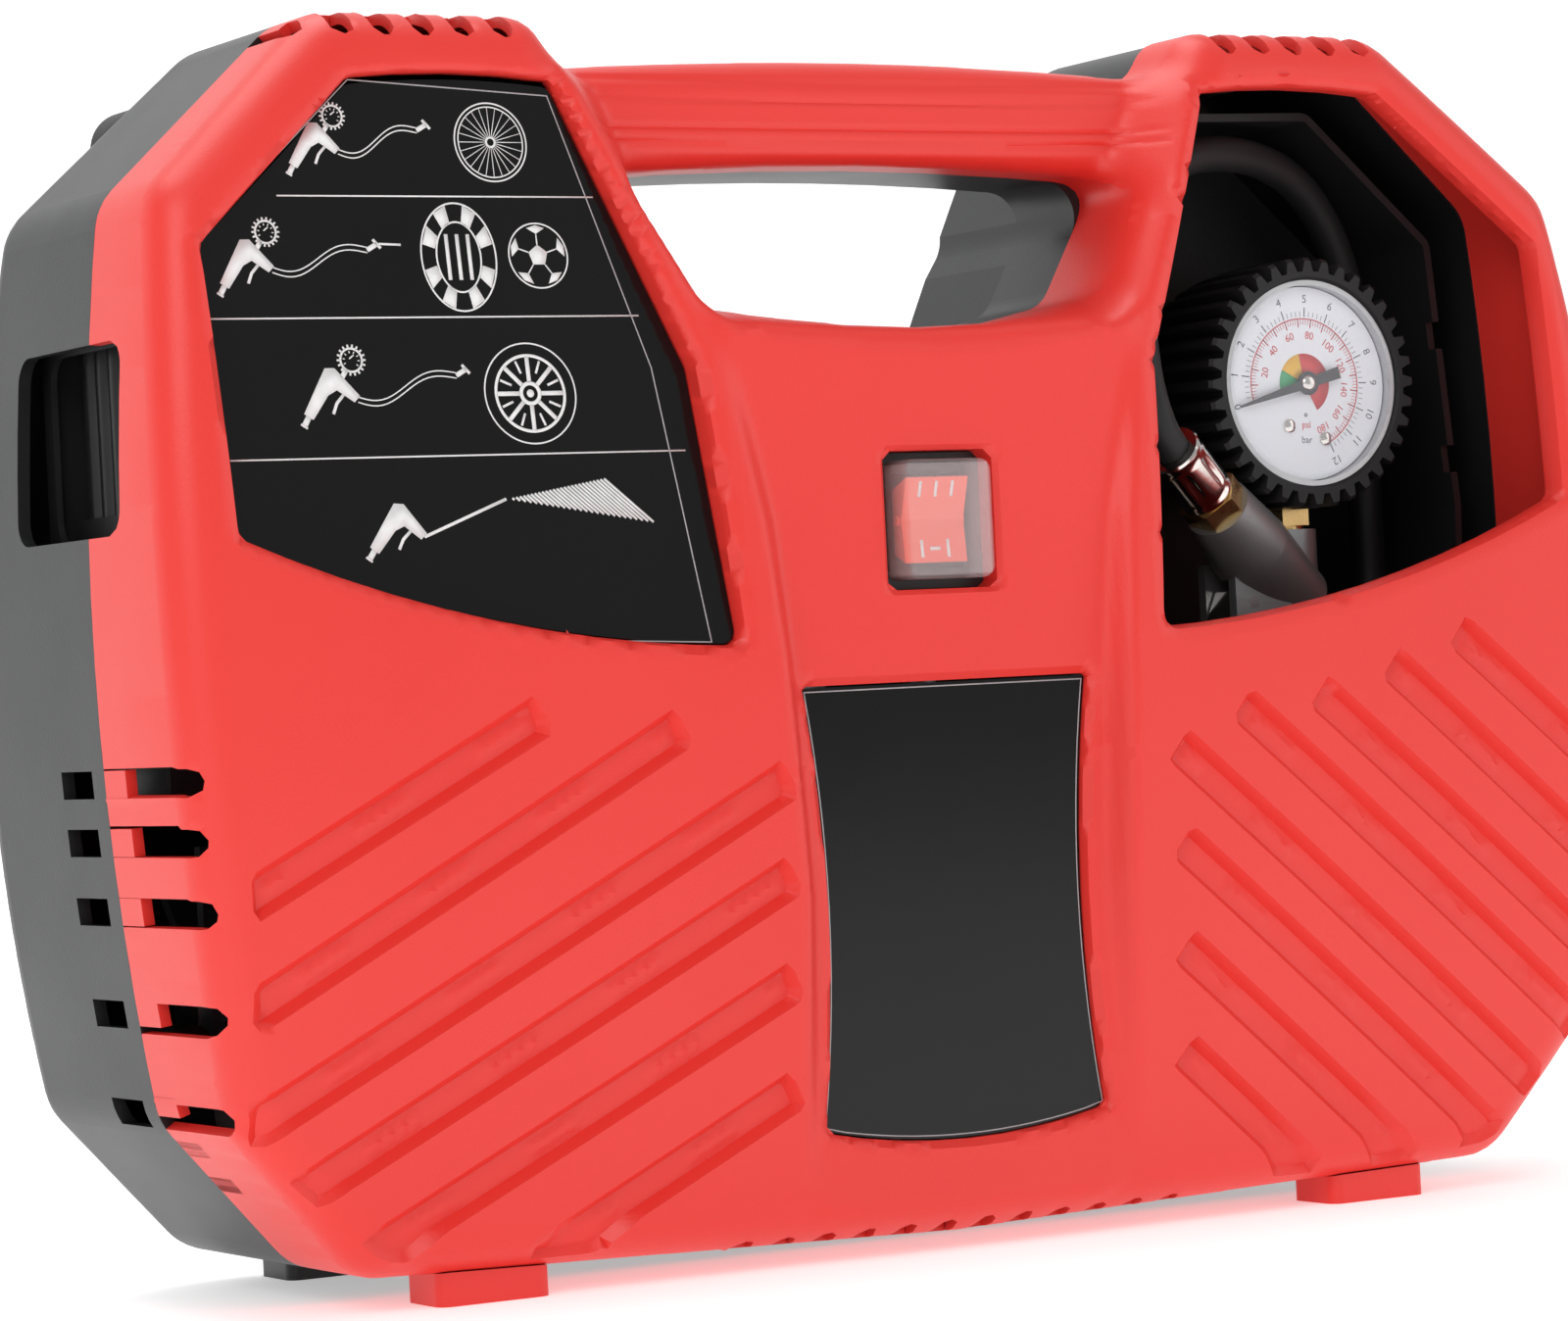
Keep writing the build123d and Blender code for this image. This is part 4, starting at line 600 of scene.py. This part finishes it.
def make_gauge():
    """Ribbed rubber boot, domed lens and needle cap of the pressure gauge."""
    count, root = 36, 28.0

    def teeth(turns, depth, r):
        """Radius falls from the tooth's top to its root: a wave of flat-topped teeth."""
        wave = np.clip(0.5 + 1.7 * np.cos(count * turns), 0, 1)
        return np.where(r > root + 0.2, root + (r - root) * wave, r)
    # depth counts from the boot's front towards the front, so the body lies at negative depths
    rows = [(-36.5, 0), (-36.5, 25.95), (-1.4, 25.95), (-0.5, 26.1), (0, 26.6), (0, 27.9),
            (0, 28.3), (0, 30.6), (-0.9, 31.5), (-9, 31.4), (-20, 31.2), (-30, 30.6), (-36, 29.6),
            (-38, 28.4), (-38, 27.0), (-38, 0)]
    boot = revolve("gauge_boot_ribbed", rows, count * 12, teeth, centre=GAUGE, smooth_angle=40)
    show(boot, "rubber", stands_for=("gauge_boot",))
    share = np.linspace(0, 1, 9)
    front = [(0.6 + 2.9 * (1 - s * s), 24.4 * s) for s in share]
    back = [(-0.5 + 2.6 * (1 - s * s), 24.3 * s) for s in share[::-1]]
    lens = revolve("gauge_lens_domed", back + front, 72, centre=GAUGE)
    show(lens, "lens", stands_for=("gauge_lens",))
    cap = revolve("needle_cap", [(-2.3, 0), (-2.3, 1.9), (-1.9, 2.0), (-1.5, 1.7),
                                 (-1.3, 1.2), (-1.3, 0)], 32, centre=GAUGE)
    show(cap, "nickel", "needle")


def unit(vector):
    """Vector of length one."""
    return np.asarray(vector, float) / np.linalg.norm(vector)


# end of the pistol's nozzle, and the direction of its barrel
NOZZLE, BARREL = np.array([101.0, -22.0, 173.0]), unit((34, 16, -26))


def make_ferrule():
    """Crimped collar of the hose: a round profile with six long dents, flared at the nut."""
    across = unit(np.cross(BARREL, (0, 0, 1)))
    axes = np.column_stack([across, np.cross(BARREL, across), BARREL])

    def dents(turns, depth, r):
        """Radius less a rounded dent: deepest on six lines and along the collar's middle."""
        round_ = np.clip(np.cos(6 * turns) * 1.6 - 0.5, 0, 1)
        along = np.clip(1.2 - np.abs(depth + 15.6) / 5.2, 0, 1) ** 0.5
        return r - 0.75 * round_ * along * (r > 6.3)
    inner = [(-25.0, 4.55), (-8.0, 4.55), (-6.0, 4.55)]
    outer = [(-6.0, 6.6), (-6.4, 6.95), (-7.4, 7.0), (-8.0, 6.75), (-9.0, 6.85)]
    outer += [(depth, 6.9) for depth in np.linspace(-10, -21.6, 14)]
    outer += [(-22.4, 6.75), (-23.2, 6.95), (-24.4, 7.0), (-25.0, 6.6)]
    stations = inner + outer + inner[:1]
    collar = revolve("hose_ferrule_crimped", stations, 96, dents, centre=NOZZLE, frame_axes=axes)
    show(collar, "nickel", stands_for=("hose_ferrule",))


# ---- front of the case --------------------------------------------------------------------------
def arc(start, via, end, count):
    """Points after start along the circle through three points, ending at end."""
    (ax, ay), (bx, by), (cx, cy) = start, via, end
    turn = 2 * (ax * (by - cy) + bx * (cy - ay) + cx * (ay - by))
    squares = [ax * ax + ay * ay, bx * bx + by * by, cx * cx + cy * cy]
    ox = (squares[0] * (by - cy) + squares[1] * (cy - ay) + squares[2] * (ay - by)) / turn
    oy = (squares[0] * (cx - bx) + squares[1] * (ax - cx) + squares[2] * (bx - ax)) / turn
    angles = np.unwrap([math.atan2(y - oy, x - ox) for x, y in (start, via, end)])
    swing = np.linspace(angles[0], angles[2], count + 1)[1:]
    reach = math.hypot(ax - ox, ay - oy)
    return [(ox + reach * math.cos(angle), oy + reach * math.sin(angle)) for angle in swing]


def rounded(path, radius):
    """Closed outline whose sharp corners become short curves of about the given radius."""
    path = np.asarray(path, float)
    result = []
    for before, corner, after in zip(np.roll(path, 1, 0), path, np.roll(path, -1, 0)):
        arriving, leaving = corner - before, after - corner
        lengths = np.linalg.norm(arriving), np.linalg.norm(leaving)
        cosine = arriving @ leaving / (lengths[0] * lengths[1])
        bend = math.acos(min(max(cosine, -1), 1))
        if bend < math.radians(9):
            result.append(corner[None])
            continue
        trim = min(radius * math.tan(bend / 2), 0.48 * lengths[0], 0.48 * lengths[1])
        first, last = corner - arriving / lengths[0] * trim, corner + leaving / lengths[1] * trim
        share = np.linspace(0, 1, 7)[:, None]
        result.append((1 - share) ** 2 * first + 2 * share * (1 - share) * corner
                      + share ** 2 * last)
    return np.vstack(result)


def depth_inside(loop):
    """Function that gives the distance of points to a closed outline, positive inside it."""
    start, end = loop, np.roll(loop, -1, 0)
    step = end - start

    def measure(points):
        found = []
        for part in np.array_split(points, max(len(points) // 8000, 1)):
            offset = part[:, None] - start[None]
            share = np.clip(np.sum(offset * step, 2) / np.sum(step * step, 1), 0, 1)
            gap = np.linalg.norm(offset - share[..., None] * step, axis=2).min(1)
            above = (start[:, 1] > part[:, 1:]) != (end[:, 1] > part[:, 1:])
            slope = step[:, 0] / np.where(step[:, 1] == 0, 1e-9, step[:, 1])
            crossed = above & (offset[..., 0] < offset[..., 1] * slope)
            found.append(np.where(crossed.sum(1) % 2 == 1, gap, -gap))
        return np.concatenate(found)
    return measure


def mirrored(path):
    return [(-x, z) for x, z in path]


def slope_of(measure, points, step=0.05):
    """Direction in which a distance grows, from small differences."""
    here = np.stack([measure(points + shift) - measure(points - shift)
                     for shift in (np.array([step, 0]), np.array([0, step]))], 1)
    return here / np.maximum(np.linalg.norm(here, axis=1, keepdims=True), 1e-9)


def smooth_step(value):
    """Runs from 0 to 1 with level ends as the value runs from 0 to 1."""
    value = np.clip(value, 0, 1)
    return value * value * (3 - 2 * value)


WINDOW = ([(58, 143.5), (63, 208), (90, 274)] + arc((90, 274), (116, 275.5), (141, 274), 4)
          + [(182, 236), (180, 171.5)] + arc((180, 171.5), (122, 152), (58, 143.5), 10)[:-1])
OUTLINE = ([(-91, 290), (-146, 290), (-191, 248)]
           + arc((-191, 248), (-197, 155), (-187, 44), 14)
           + [(-156, 8), (0, 4), (156, 8), (187, 44)]
           + arc((187, 44), (197, 155), (191, 248), 14)
           + [(146, 290), (91, 290), (85, 279)] + arc((85, 279), (0, 282), (-85, 279), 10))
OPENING = ([(-74, 254)] + arc((-74, 254), (0, 257), (74, 254), 6) + [(57, 224)]
           + arc((57, 224), (0, 216.5), (-57, 224), 6))
LABEL = ([(-39.4, 133.4), (39.4, 133.4)] + arc((39.4, 133.4), (35.4, 85), (38.9, 30.6), 8)
         + arc((38.9, 30.6), (0, 26.1), (-38.9, 30.6), 8)
         + arc((-38.9, 30.6), (-35.4, 85), (-39.4, 133.4), 8)[:-1])
SWITCH = [(-15, 154.75), (15, 154.75), (15, 187.25), (-15, 187.25)]
COLUMN = [(-42, 10), (42, 10), (40, 85), (43, 140), (46, 172), (58, 232), (-58, 232),
          (-46, 172), (-43, 140), (-40, 85)]
RELIEF = [(-52, 224), (52, 224), (68, 254), (82, 285), (92, 310), (-92, 310), (-82, 285),
          (-68, 254)]
GROOVE_FIELD = [(-184, 150), (-182, 42), (-152, 14), (-120, 11), (120, 11), (152, 14), (180, 42),
                (186, 150)]
GROOVES = [((-112, 129.5), (-186, 92)), ((-77, 125), (-186, 68)), ((-50, 112), (-184, 44)),
           ((-50, 90), (-180, 25)), ((-50, 66), (-168, 8)), ((-50, 41), (-128, 2)),
           ((145, 138), (205, 88)), ((124, 131), (205, 63)), ((102, 125), (205, 39)),
           ((79, 123), (205, 17)), ((60, 114), (180, 13)), ((60, 91), (160, 7)),
           ((60, 66), (130, 7)), ((60, 41), (100, 7))]
SIDE_VENTS = [(119.5, -190), (106.5, -189.5), (91, -188), (68, -186), (45.5, -184), (25.5, -177),
              (10.5, -162)]
SIDE_VENT_HALF, VENT_HALF = 3.1, 2.8
TOP_VENTS, BASE_VENTS = range(100, 151, 10), -58.5 + 10.7 * np.arange(12)
GROOVE_WIDTH, GROOVE_DEPTH, GROOVE_SLOPE = 9.8, 3.0, 2.0
GROOVE_TOP = 152                    # no groove reaches above this height
COLUMN_Y, RELIEF_Y = -55.0, -31.0   # front of the column, and floor of the handle's recess
PARTING_Y = -14.0


def front_arc(z):
    """y of the bulging front: the circle through (-50, -12), (-62, 105) and (-37, 296)."""
    y, height = np.array(arc((-50, -12), (-62, 105), (-37, 296), 60)).T
    return np.interp(z, np.r_[-12, height], np.r_[-50, y])


def slot_gap(points, low, high, radius):
    """Distance outside a box with rounded corners between two corners."""
    middle, half = (np.add(low, high)) / 2, (np.subtract(high, low)) / 2 - radius
    beyond = np.abs(points - middle) - half
    outside = np.linalg.norm(np.maximum(beyond, 0), axis=1)
    return outside + np.minimum(beyond.max(1), 0) - radius


def side_vents(points):
    """Gap to the nearest slot of the left-hand edge: each runs out through the side."""
    return np.min([slot_gap(points, (-260, z - SIDE_VENT_HALF), (x, z + SIDE_VENT_HALF), 2.6)
                   for z, x in SIDE_VENTS], axis=0)


def top_vents(points):
    """Gap to the nearest notch in the top of the two lobes."""
    return np.min([slot_gap(np.abs(points), (x - VENT_HALF, 282.5), (x + VENT_HALF, 330), 2.2)
                   for x in TOP_VENTS], axis=0)


def base_vents(points):
    """Gap to the nearest notch in the bottom edge."""
    return np.min([slot_gap(points, (x - VENT_HALF, -40), (x + VENT_HALF, 9.5), 2.4)
                   for x in BASE_VENTS], axis=0)


def groove_bands(points):
    """Depth inside the nearest groove's band, and the distance run along that groove."""
    start, end = np.array(GROOVES, float).transpose(1, 0, 2)
    along = (end - start) / np.linalg.norm(end - start, axis=1, keepdims=True)
    offset = points[:, None] - start[None]
    run = np.sum(offset * along, 2)
    aside = np.abs(offset[..., 0] * along[:, 1] - offset[..., 1] * along[:, 0])
    length = np.linalg.norm(end - start, axis=1)
    inside = np.minimum(GROOVE_WIDTH / 2 - aside, np.minimum(run + 2, length - run))
    best = inside.argmax(1)
    rows = np.arange(len(points))
    return inside[rows, best], run[rows, best] + 11.0 * best


def make_front_shell():
    """Front half of the case, as one sheet with a wall thickness.

    A grid in x and z is trimmed to the outline and to its holes by moving the points near a border
    onto it. Inside a border's rounding the distance d to it becomes an angle, a quarter turn for
    d = R: the point moves to R (1 - cos) from the border and drops by R (1 - sin). The height is
    the bulging front, eased to y = -55 in the column, to y = -31 in the handle's recess, and sunk
    in the grooves, whose floors carry low pads. Each border then runs back as a wall.
    """
    pitch = 43 / 27
    z = np.concatenate([174 + pitch * np.arange(-110, 55), np.arange(260.7, 277.4, 0.7),
                        277.6 + pitch * np.arange(0, 9)])
    x = pitch * np.arange(-125, 126)
    heights = np.gradient(z)
    flat = np.stack(np.meshgrid(x, z, indexing="xy"), axis=2).reshape(-1, 2)
    cell = np.stack([np.full(len(flat), pitch), np.repeat(heights, len(x))], 1)
    outside = [depth_inside(rounded(OUTLINE, 15))]
    holes = [depth_inside(rounded(path, bend)) for path, bend in
             ((OPENING, 9), (WINDOW, 3.5), (mirrored(WINDOW), 3.5), (LABEL, 0.8), (SWITCH, 1.5))]
    edges = outside + [lambda points, hole=hole: -hole(points) for hole in holes]
    rounding = [10.0, 7.0, 3.2, 2.4, 1.8, 1.2]
    edges += [side_vents, top_vents, base_vents]
    measures = np.array([edge(flat) for edge in edges])
    nearest = measures.argmin(0)
    depth = measures.min(0)
    slopes = np.zeros_like(flat)
    close = np.abs(depth) < 3
    for index, edge in enumerate(edges):
        chosen = close & (nearest == index)
        if chosen.any():
            slopes[chosen] = slope_of(edge, flat[chosen])
    limit = 0.5 * np.sum(np.abs(slopes) * cell, axis=1)
    on_border = close & (np.abs(depth) <= limit)
    kept = (depth > 0) | on_border
    flat = np.where(on_border[:, None], flat - depth[:, None] * slopes, flat)
    # the grooves' edges and the feet of their slopes
    field = depth_inside(rounded(GROOVE_FIELD, 10))

    def banded(points):
        return np.minimum(groove_bands(points)[0], field(points))
    free = kept & (depth > 2.5) & (flat[:, 1] < GROOVE_TOP)
    for level in (0.0, GROOVE_SLOPE):
        spots = flat[free]
        slope = slope_of(banded, spots)
        off = banded(spots) - level
        near = np.abs(off) <= 0.5 * np.sum(np.abs(slope) * pitch, axis=1) * 0.98
        spots[near] -= (off[:, None] * slope)[near]
        flat[free] = spots
    # lines that run along the small rounded borders
    for edge, radius in zip(edges[2:6], rounding[2:6]):
        near = np.nonzero(kept & ~on_border & (np.abs(edge(flat)) < radius + 1))[0]
        slope, off = slope_of(edge, flat[near]), edge(flat[near])
        line = np.clip(np.round(off * 2 / radius) * radius / 2, radius / 2, radius)
        reach = 0.5 * np.sum(np.abs(slope) * cell[near], axis=1)
        off = np.where(np.abs(off - line) <= reach, off - line, 0)
        flat[near] -= off[:, None] * slope
    # rounded edges
    drop = np.zeros(len(flat))
    moved = flat.copy()
    for edge, radius in zip(edges, rounding):
        chosen = np.nonzero(kept & (np.abs(edge(flat)) < radius))[0]
        gap = np.clip(edge(flat[chosen]), 0, radius)
        angle = TAU / 4 * gap / radius
        moved[chosen] += ((radius * (1 - np.cos(angle)) - gap)[:, None]
                          * slope_of(edge, flat[chosen]))
        drop[chosen] += radius * (1 - np.sin(angle))
    column = smooth_step((depth_inside(rounded(COLUMN, 12))(moved) + 5) / 6)
    relief = smooth_step((depth_inside(rounded(RELIEF, 6))(moved) + 9) / 13)
    y = front_arc(moved[:, 1])
    y = y + (COLUMN_Y - y) * column
    y = y + (RELIEF_Y - y) * relief
    inside, run = groove_bands(flat)
    inside = np.minimum(inside, field(flat))
    pads = smooth_step((np.sin(run * TAU / 34.0) - 0.05) / 0.35) * smooth_step(inside / 3 - 1)
    sunk = np.clip(inside / GROOVE_SLOPE, 0, 1) * (GROOVE_DEPTH - 1.2 * pads)
    y = y + np.where(flat[:, 1] < GROOVE_TOP, sunk, 0)
    for line, half in ((274.5, 0.9), (271.5, 0.9), (265, 0.9), (262, 0.9)):
        ridge = np.clip(1 - np.abs(flat[:, 1] - line) / half, 0, 1)
        y = y + 0.8 * ridge * smooth_step((80 - np.abs(flat[:, 0])) / 3)
    y = np.minimum(y + drop, PARTING_Y - 1)
    # faces: whole cells, and half cells where one corner is cut off
    rows, columns = len(z), len(x)
    corner = np.array(grid_faces(rows, columns))
    whole = kept[corner]
    quads = corner[whole.all(1)]
    cut = corner[whole.sum(1) == 3]
    missing = (~kept[cut]).argmax(1)
    order = (missing[:, None] + np.arange(1, 4)) % 4
    triangles = np.take_along_axis(cut, order, axis=1)
    used, faces = np.unique(np.concatenate([quads.ravel(), triangles.ravel()]),
                            return_inverse=True)
    quads = faces[:quads.size].reshape(-1, 4)
    triangles = faces[quads.size:].reshape(-1, 3)
    points = np.stack([moved[used, 0], y[used], moved[used, 1]], 1)
    flat, measures = flat[used], np.array([np.abs(edge(flat[used])) for edge in edges])
    # borders: directed edges that have no partner
    loops = np.concatenate([np.stack([shape.ravel(), np.roll(shape, -1, 1).ravel()], 1)
                            for shape in (quads, triangles)])
    key = loops[:, 0] * len(points) + loops[:, 1]
    partner = loops[:, 1] * len(points) + loops[:, 0]
    border = loops[~np.isin(key, partner)]
    kind = (measures[:, border[:, 0]] + measures[:, border[:, 1]]).argmin(0)
    # a cell is split along the diagonal whose ends are nearer to one height, if both halves of it
    # are wide enough
    level = points[quads, 1]
    first = np.abs(level[:, 0] - level[:, 2]) <= np.abs(level[:, 1] - level[:, 3])
    split = np.where(first[:, None], quads[:, [0, 1, 2, 0, 2, 3]], quads[:, [0, 1, 3, 1, 2, 3]])
    halves = points[split.reshape(-1, 2, 3)][..., [0, 2]]
    sides = halves[:, :, 1:] - halves[:, :, :1]
    area = sides[..., 0, 0] * sides[..., 1, 1] - sides[..., 0, 1] * sides[..., 1, 0]
    wide = area.min(1) > 0.5
    sheets = split[wide].reshape(-1, 3).tolist() + quads[~wide].tolist() + triangles.tolist()
    more, count = [points], len(points)
    floor_y = {4: -50.0, 5: -45.0}
    for index in range(6):
        members = border[kind == index]
        if not len(members):
            continue
        ends, where = np.unique(members, return_inverse=True)
        where = where.reshape(members.shape)
        top = points[ends]
        levels = []
        if index < 2:
            mid = np.where((top[:, 2] < 12) & (np.abs(top[:, 0]) < 90), -43.0, -26.0)
            mouth = (top[:, 0] < -150) & (top[:, 2] > 173.5) & (top[:, 2] < 217.5)
            side = np.clip(np.maximum(180 - top[:, 2], top[:, 2] - 211), 0, 6)
            mid = np.where(mouth, -26 - np.sqrt(36 - side ** 2), mid)
            levels = [np.maximum(mid, top[:, 1] + 0.4), np.full(len(top), PARTING_Y)]
        elif index == 2:
            levels = [top[:, 1] + 3.5]
        elif index == 3:
            levels = [np.maximum(panel_seat(top[:, 2]) + 1.5, top[:, 1] + 0.4)]
        else:
            levels = [np.maximum(np.full(len(top), floor_y[index]), top[:, 1] + 0.4)]
        above = ends[where]
        for row, level in enumerate(levels):
            ring = top.copy()
            ring[:, 1] = level
            more.append(ring)
            below = count + where
            count += len(ring)
            strip = np.stack([above[:, 1], above[:, 0], below[:, 0], below[:, 1]], 1)
            if row == 1 and index == 0:
                strip = strip[~(mouth[where[:, 0]] & mouth[where[:, 1]])]
            sheets += strip.tolist()
            above = below
    # short walls that close the vents' mouths behind them
    across = np.linspace(-VENT_HALF, VENT_HALF, 5)
    up = np.linspace(-SIDE_VENT_HALF, SIDE_VENT_HALF, 5)
    mouths = [(np.stack([np.full(5, -196.0), z + up], 1), -26.0) for z, _ in SIDE_VENTS]
    mouths += [(np.stack([side * (x + across), np.full(5, 290.0)], 1), -25.0)
               for x in TOP_VENTS for side in (-1, 1)]
    mouths += [(np.stack([x + across, np.full(5, 5.0)], 1), -43.0) for x in BASE_VENTS]
    for spots, back in mouths:
        for _ in range(3):
            spots = spots - edges[0](spots)[:, None] * slope_of(edges[0], spots)
        strip = np.stack([np.insert(spots, 1, level, axis=1) for level in (back, PARTING_Y)])
        shapes = np.array(grid_faces(2, 5)) + count
        run = strip[0, -1] - strip[0, 0]
        outward = -slope_of(edges[0], spots[2:3])[0]
        if np.cross(run, (0, 1, 0))[[0, 2]] @ outward < 0:
            shapes = shapes[:, ::-1]
        sheets += shapes.tolist()
        more.append(strip.reshape(-1, 3))
        count += 10
    shell = mesh_piece("front_shell_moulded", np.vstack(more), sheets, 42)
    wall = shell.modifiers.new("wall", "SOLIDIFY")
    wall.thickness, wall.offset, wall.use_even_offset = 2.6 * MM, -1.0, False
    harden(shell, 42)
    return show(shell, "red_plastic", stands_for=("front_shell",))


# ---- hose and mains lead ------------------------------------------------------------------------
def soft_line(name, points, radius, finish):
    """Tube along a smooth spline that has the route's points as its control points."""
    data = bpy.data.curves.new(name, "CURVE")
    data.dimensions, data.bevel_depth, data.bevel_resolution = "3D", radius * MM, 5
    data.resolution_u, data.use_fill_caps = 8, True
    spline = data.splines.new("NURBS")
    spline.points.add(len(points) - 1)
    for index, point in enumerate(points):
        spline.points[index].co = (*[value * MM for value in point], 1)
    spline.order_u = 3
    spline.use_endpoint_u = True
    line = bpy.data.objects.new(name, data)
    bpy.context.scene.collection.objects.link(line)
    data.materials.append(finish)
    return line


def make_hose():
    """Inflator hose: out of the ferrule, up over the gauge and down behind it to the chuck."""
    leave = NOZZLE - 25 * BARREL
    points = [leave, leave - 14 * BARREL, (76, -27, 236), (92, -18, 262), (138, -5, 263),
              (165, 6, 238), (172, 12, 200), (172, 12, 150)]
    hose = soft_line("hose_line", points, 4.5, FINISHES["rubber"])
    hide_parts("inflator_hose")
    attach(hose, "casing")


def make_lead():
    """Mains lead: in through its gland, six and a half turns of a hank, and out to the plug.

    A turn is two straight runs and two bends: control points every 30 degrees round each bend, a
    little outside it, and one in the middle of each run, moving back by one pitch a turn.
    """
    x, z, bend, run, first, last = -158.0, 187.5, 19.5, 97.0, -23.2, 25.1
    reach, turns = bend / math.cos(math.radians(15)), 6.5
    points = [(-112, first, z - run / 2 - bend), (-130, first, z - run / 2 - bend),
              (-150, first, z - run / 2 - bend)]
    corners = [(-reach * math.sin(math.radians(angle)), -run / 2 - reach
                * math.cos(math.radians(angle))) for angle in (15, 45, 75)]
    corners += [(-bend, 0)]
    corners += [(-reach * math.sin(math.radians(angle)), run / 2 - reach
                 * math.cos(math.radians(angle))) for angle in (105, 135, 165)]
    corners += [(-across, -up) for across, up in corners]
    for number in range(int(turns * 14)):
        share = (number + 0.5) / (turns * 14)
        across, up = corners[number % 14]
        points.append((x + across, first + (last - first) * share, z + up))
    top = z + run / 2 + bend
    points += [(-150, last, top), (-128, last, top), (-112, last, top), (-106, last, 246),
               (-106, last, 232), (-106, last, 216)]
    lead = soft_line("lead_line", points, 3.25, FINISHES["lead_sheath"])
    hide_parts("mains_lead", "lead_hank")
    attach(lead, "casing")


def make_switch_marks():
    """White marks on the rocker: three strokes above, and a barred pair of strokes below."""
    marks, middle = Artwork(), 171
    for x in (-4.4, 0, 4.4):
        marks.stroke([(x, 176.4), (x, 180.0)], 0.8)
    for x in (-3.6, 3.6):
        marks.stroke([(x, 162.2), (x, 166.4)], 0.8)
    marks.stroke([(-1.4, 164.3), (1.4, 164.3)], 0.8)

    def on_rocker(flat):
        """Face of the rocker: two planes that meet at its middle."""
        rise = flat[:, 1] - middle
        y = np.where(rise > 0, -50.4 - 0.30 * rise, -50.4 + 0.10 * rise) - PRINT_GAP
        return np.stack([flat[:, 0], y, flat[:, 1]], axis=1)
    show(marks.piece("rocker_marks", on_rocker, 0.05), "dial_white", "rocker",
         finish=PRINTS["white"])


def flat_ink(name, colour, rough=0.35, metallic=0.0):
    """Printed ink: even colour with a faint mottling in tone and gloss."""
    material, tree, shader = new_material(name)
    shade = tuple(0.9 * value for value in colour)
    tint = ramp(tree, noise(tree, 300, 2), shade, colour)
    tree.links.new(tint, shader.inputs["Base Color"])
    tree.links.new(spread(tree, noise(tree, 500, 2), rough, rough + 0.1),
                   shader.inputs["Roughness"])
    shader.inputs["Metallic"].default_value = metallic
    return material


PRINTS = {
    "white": flat_ink("print_white", (0.80, 0.80, 0.80)),
    "silver": flat_ink("print_silver", (0.42, 0.42, 0.43), 0.3),
    "grey": flat_ink("ink_grey", (0.13, 0.14, 0.16)),
    "red": flat_ink("ink_red", (0.70, 0.035, 0.035)),
    "green": flat_ink("ink_green", (0.02, 0.36, 0.12)),
    "amber": flat_ink("ink_amber", (0.85, 0.48, 0.03)),
}


make_camera()
make_studio()
for node in frame["record"]["subparts"]:
    part = frame["nodes"].get(node["node"])
    if part is not None:
        part.data.materials.clear()
        part.data.materials.append(FINISHES[node["material_slot"]])


make_front_shell()
make_pictograms()
make_dial()
make_gauge()
make_ferrule()
make_hose()
make_lead()
make_switch_marks()
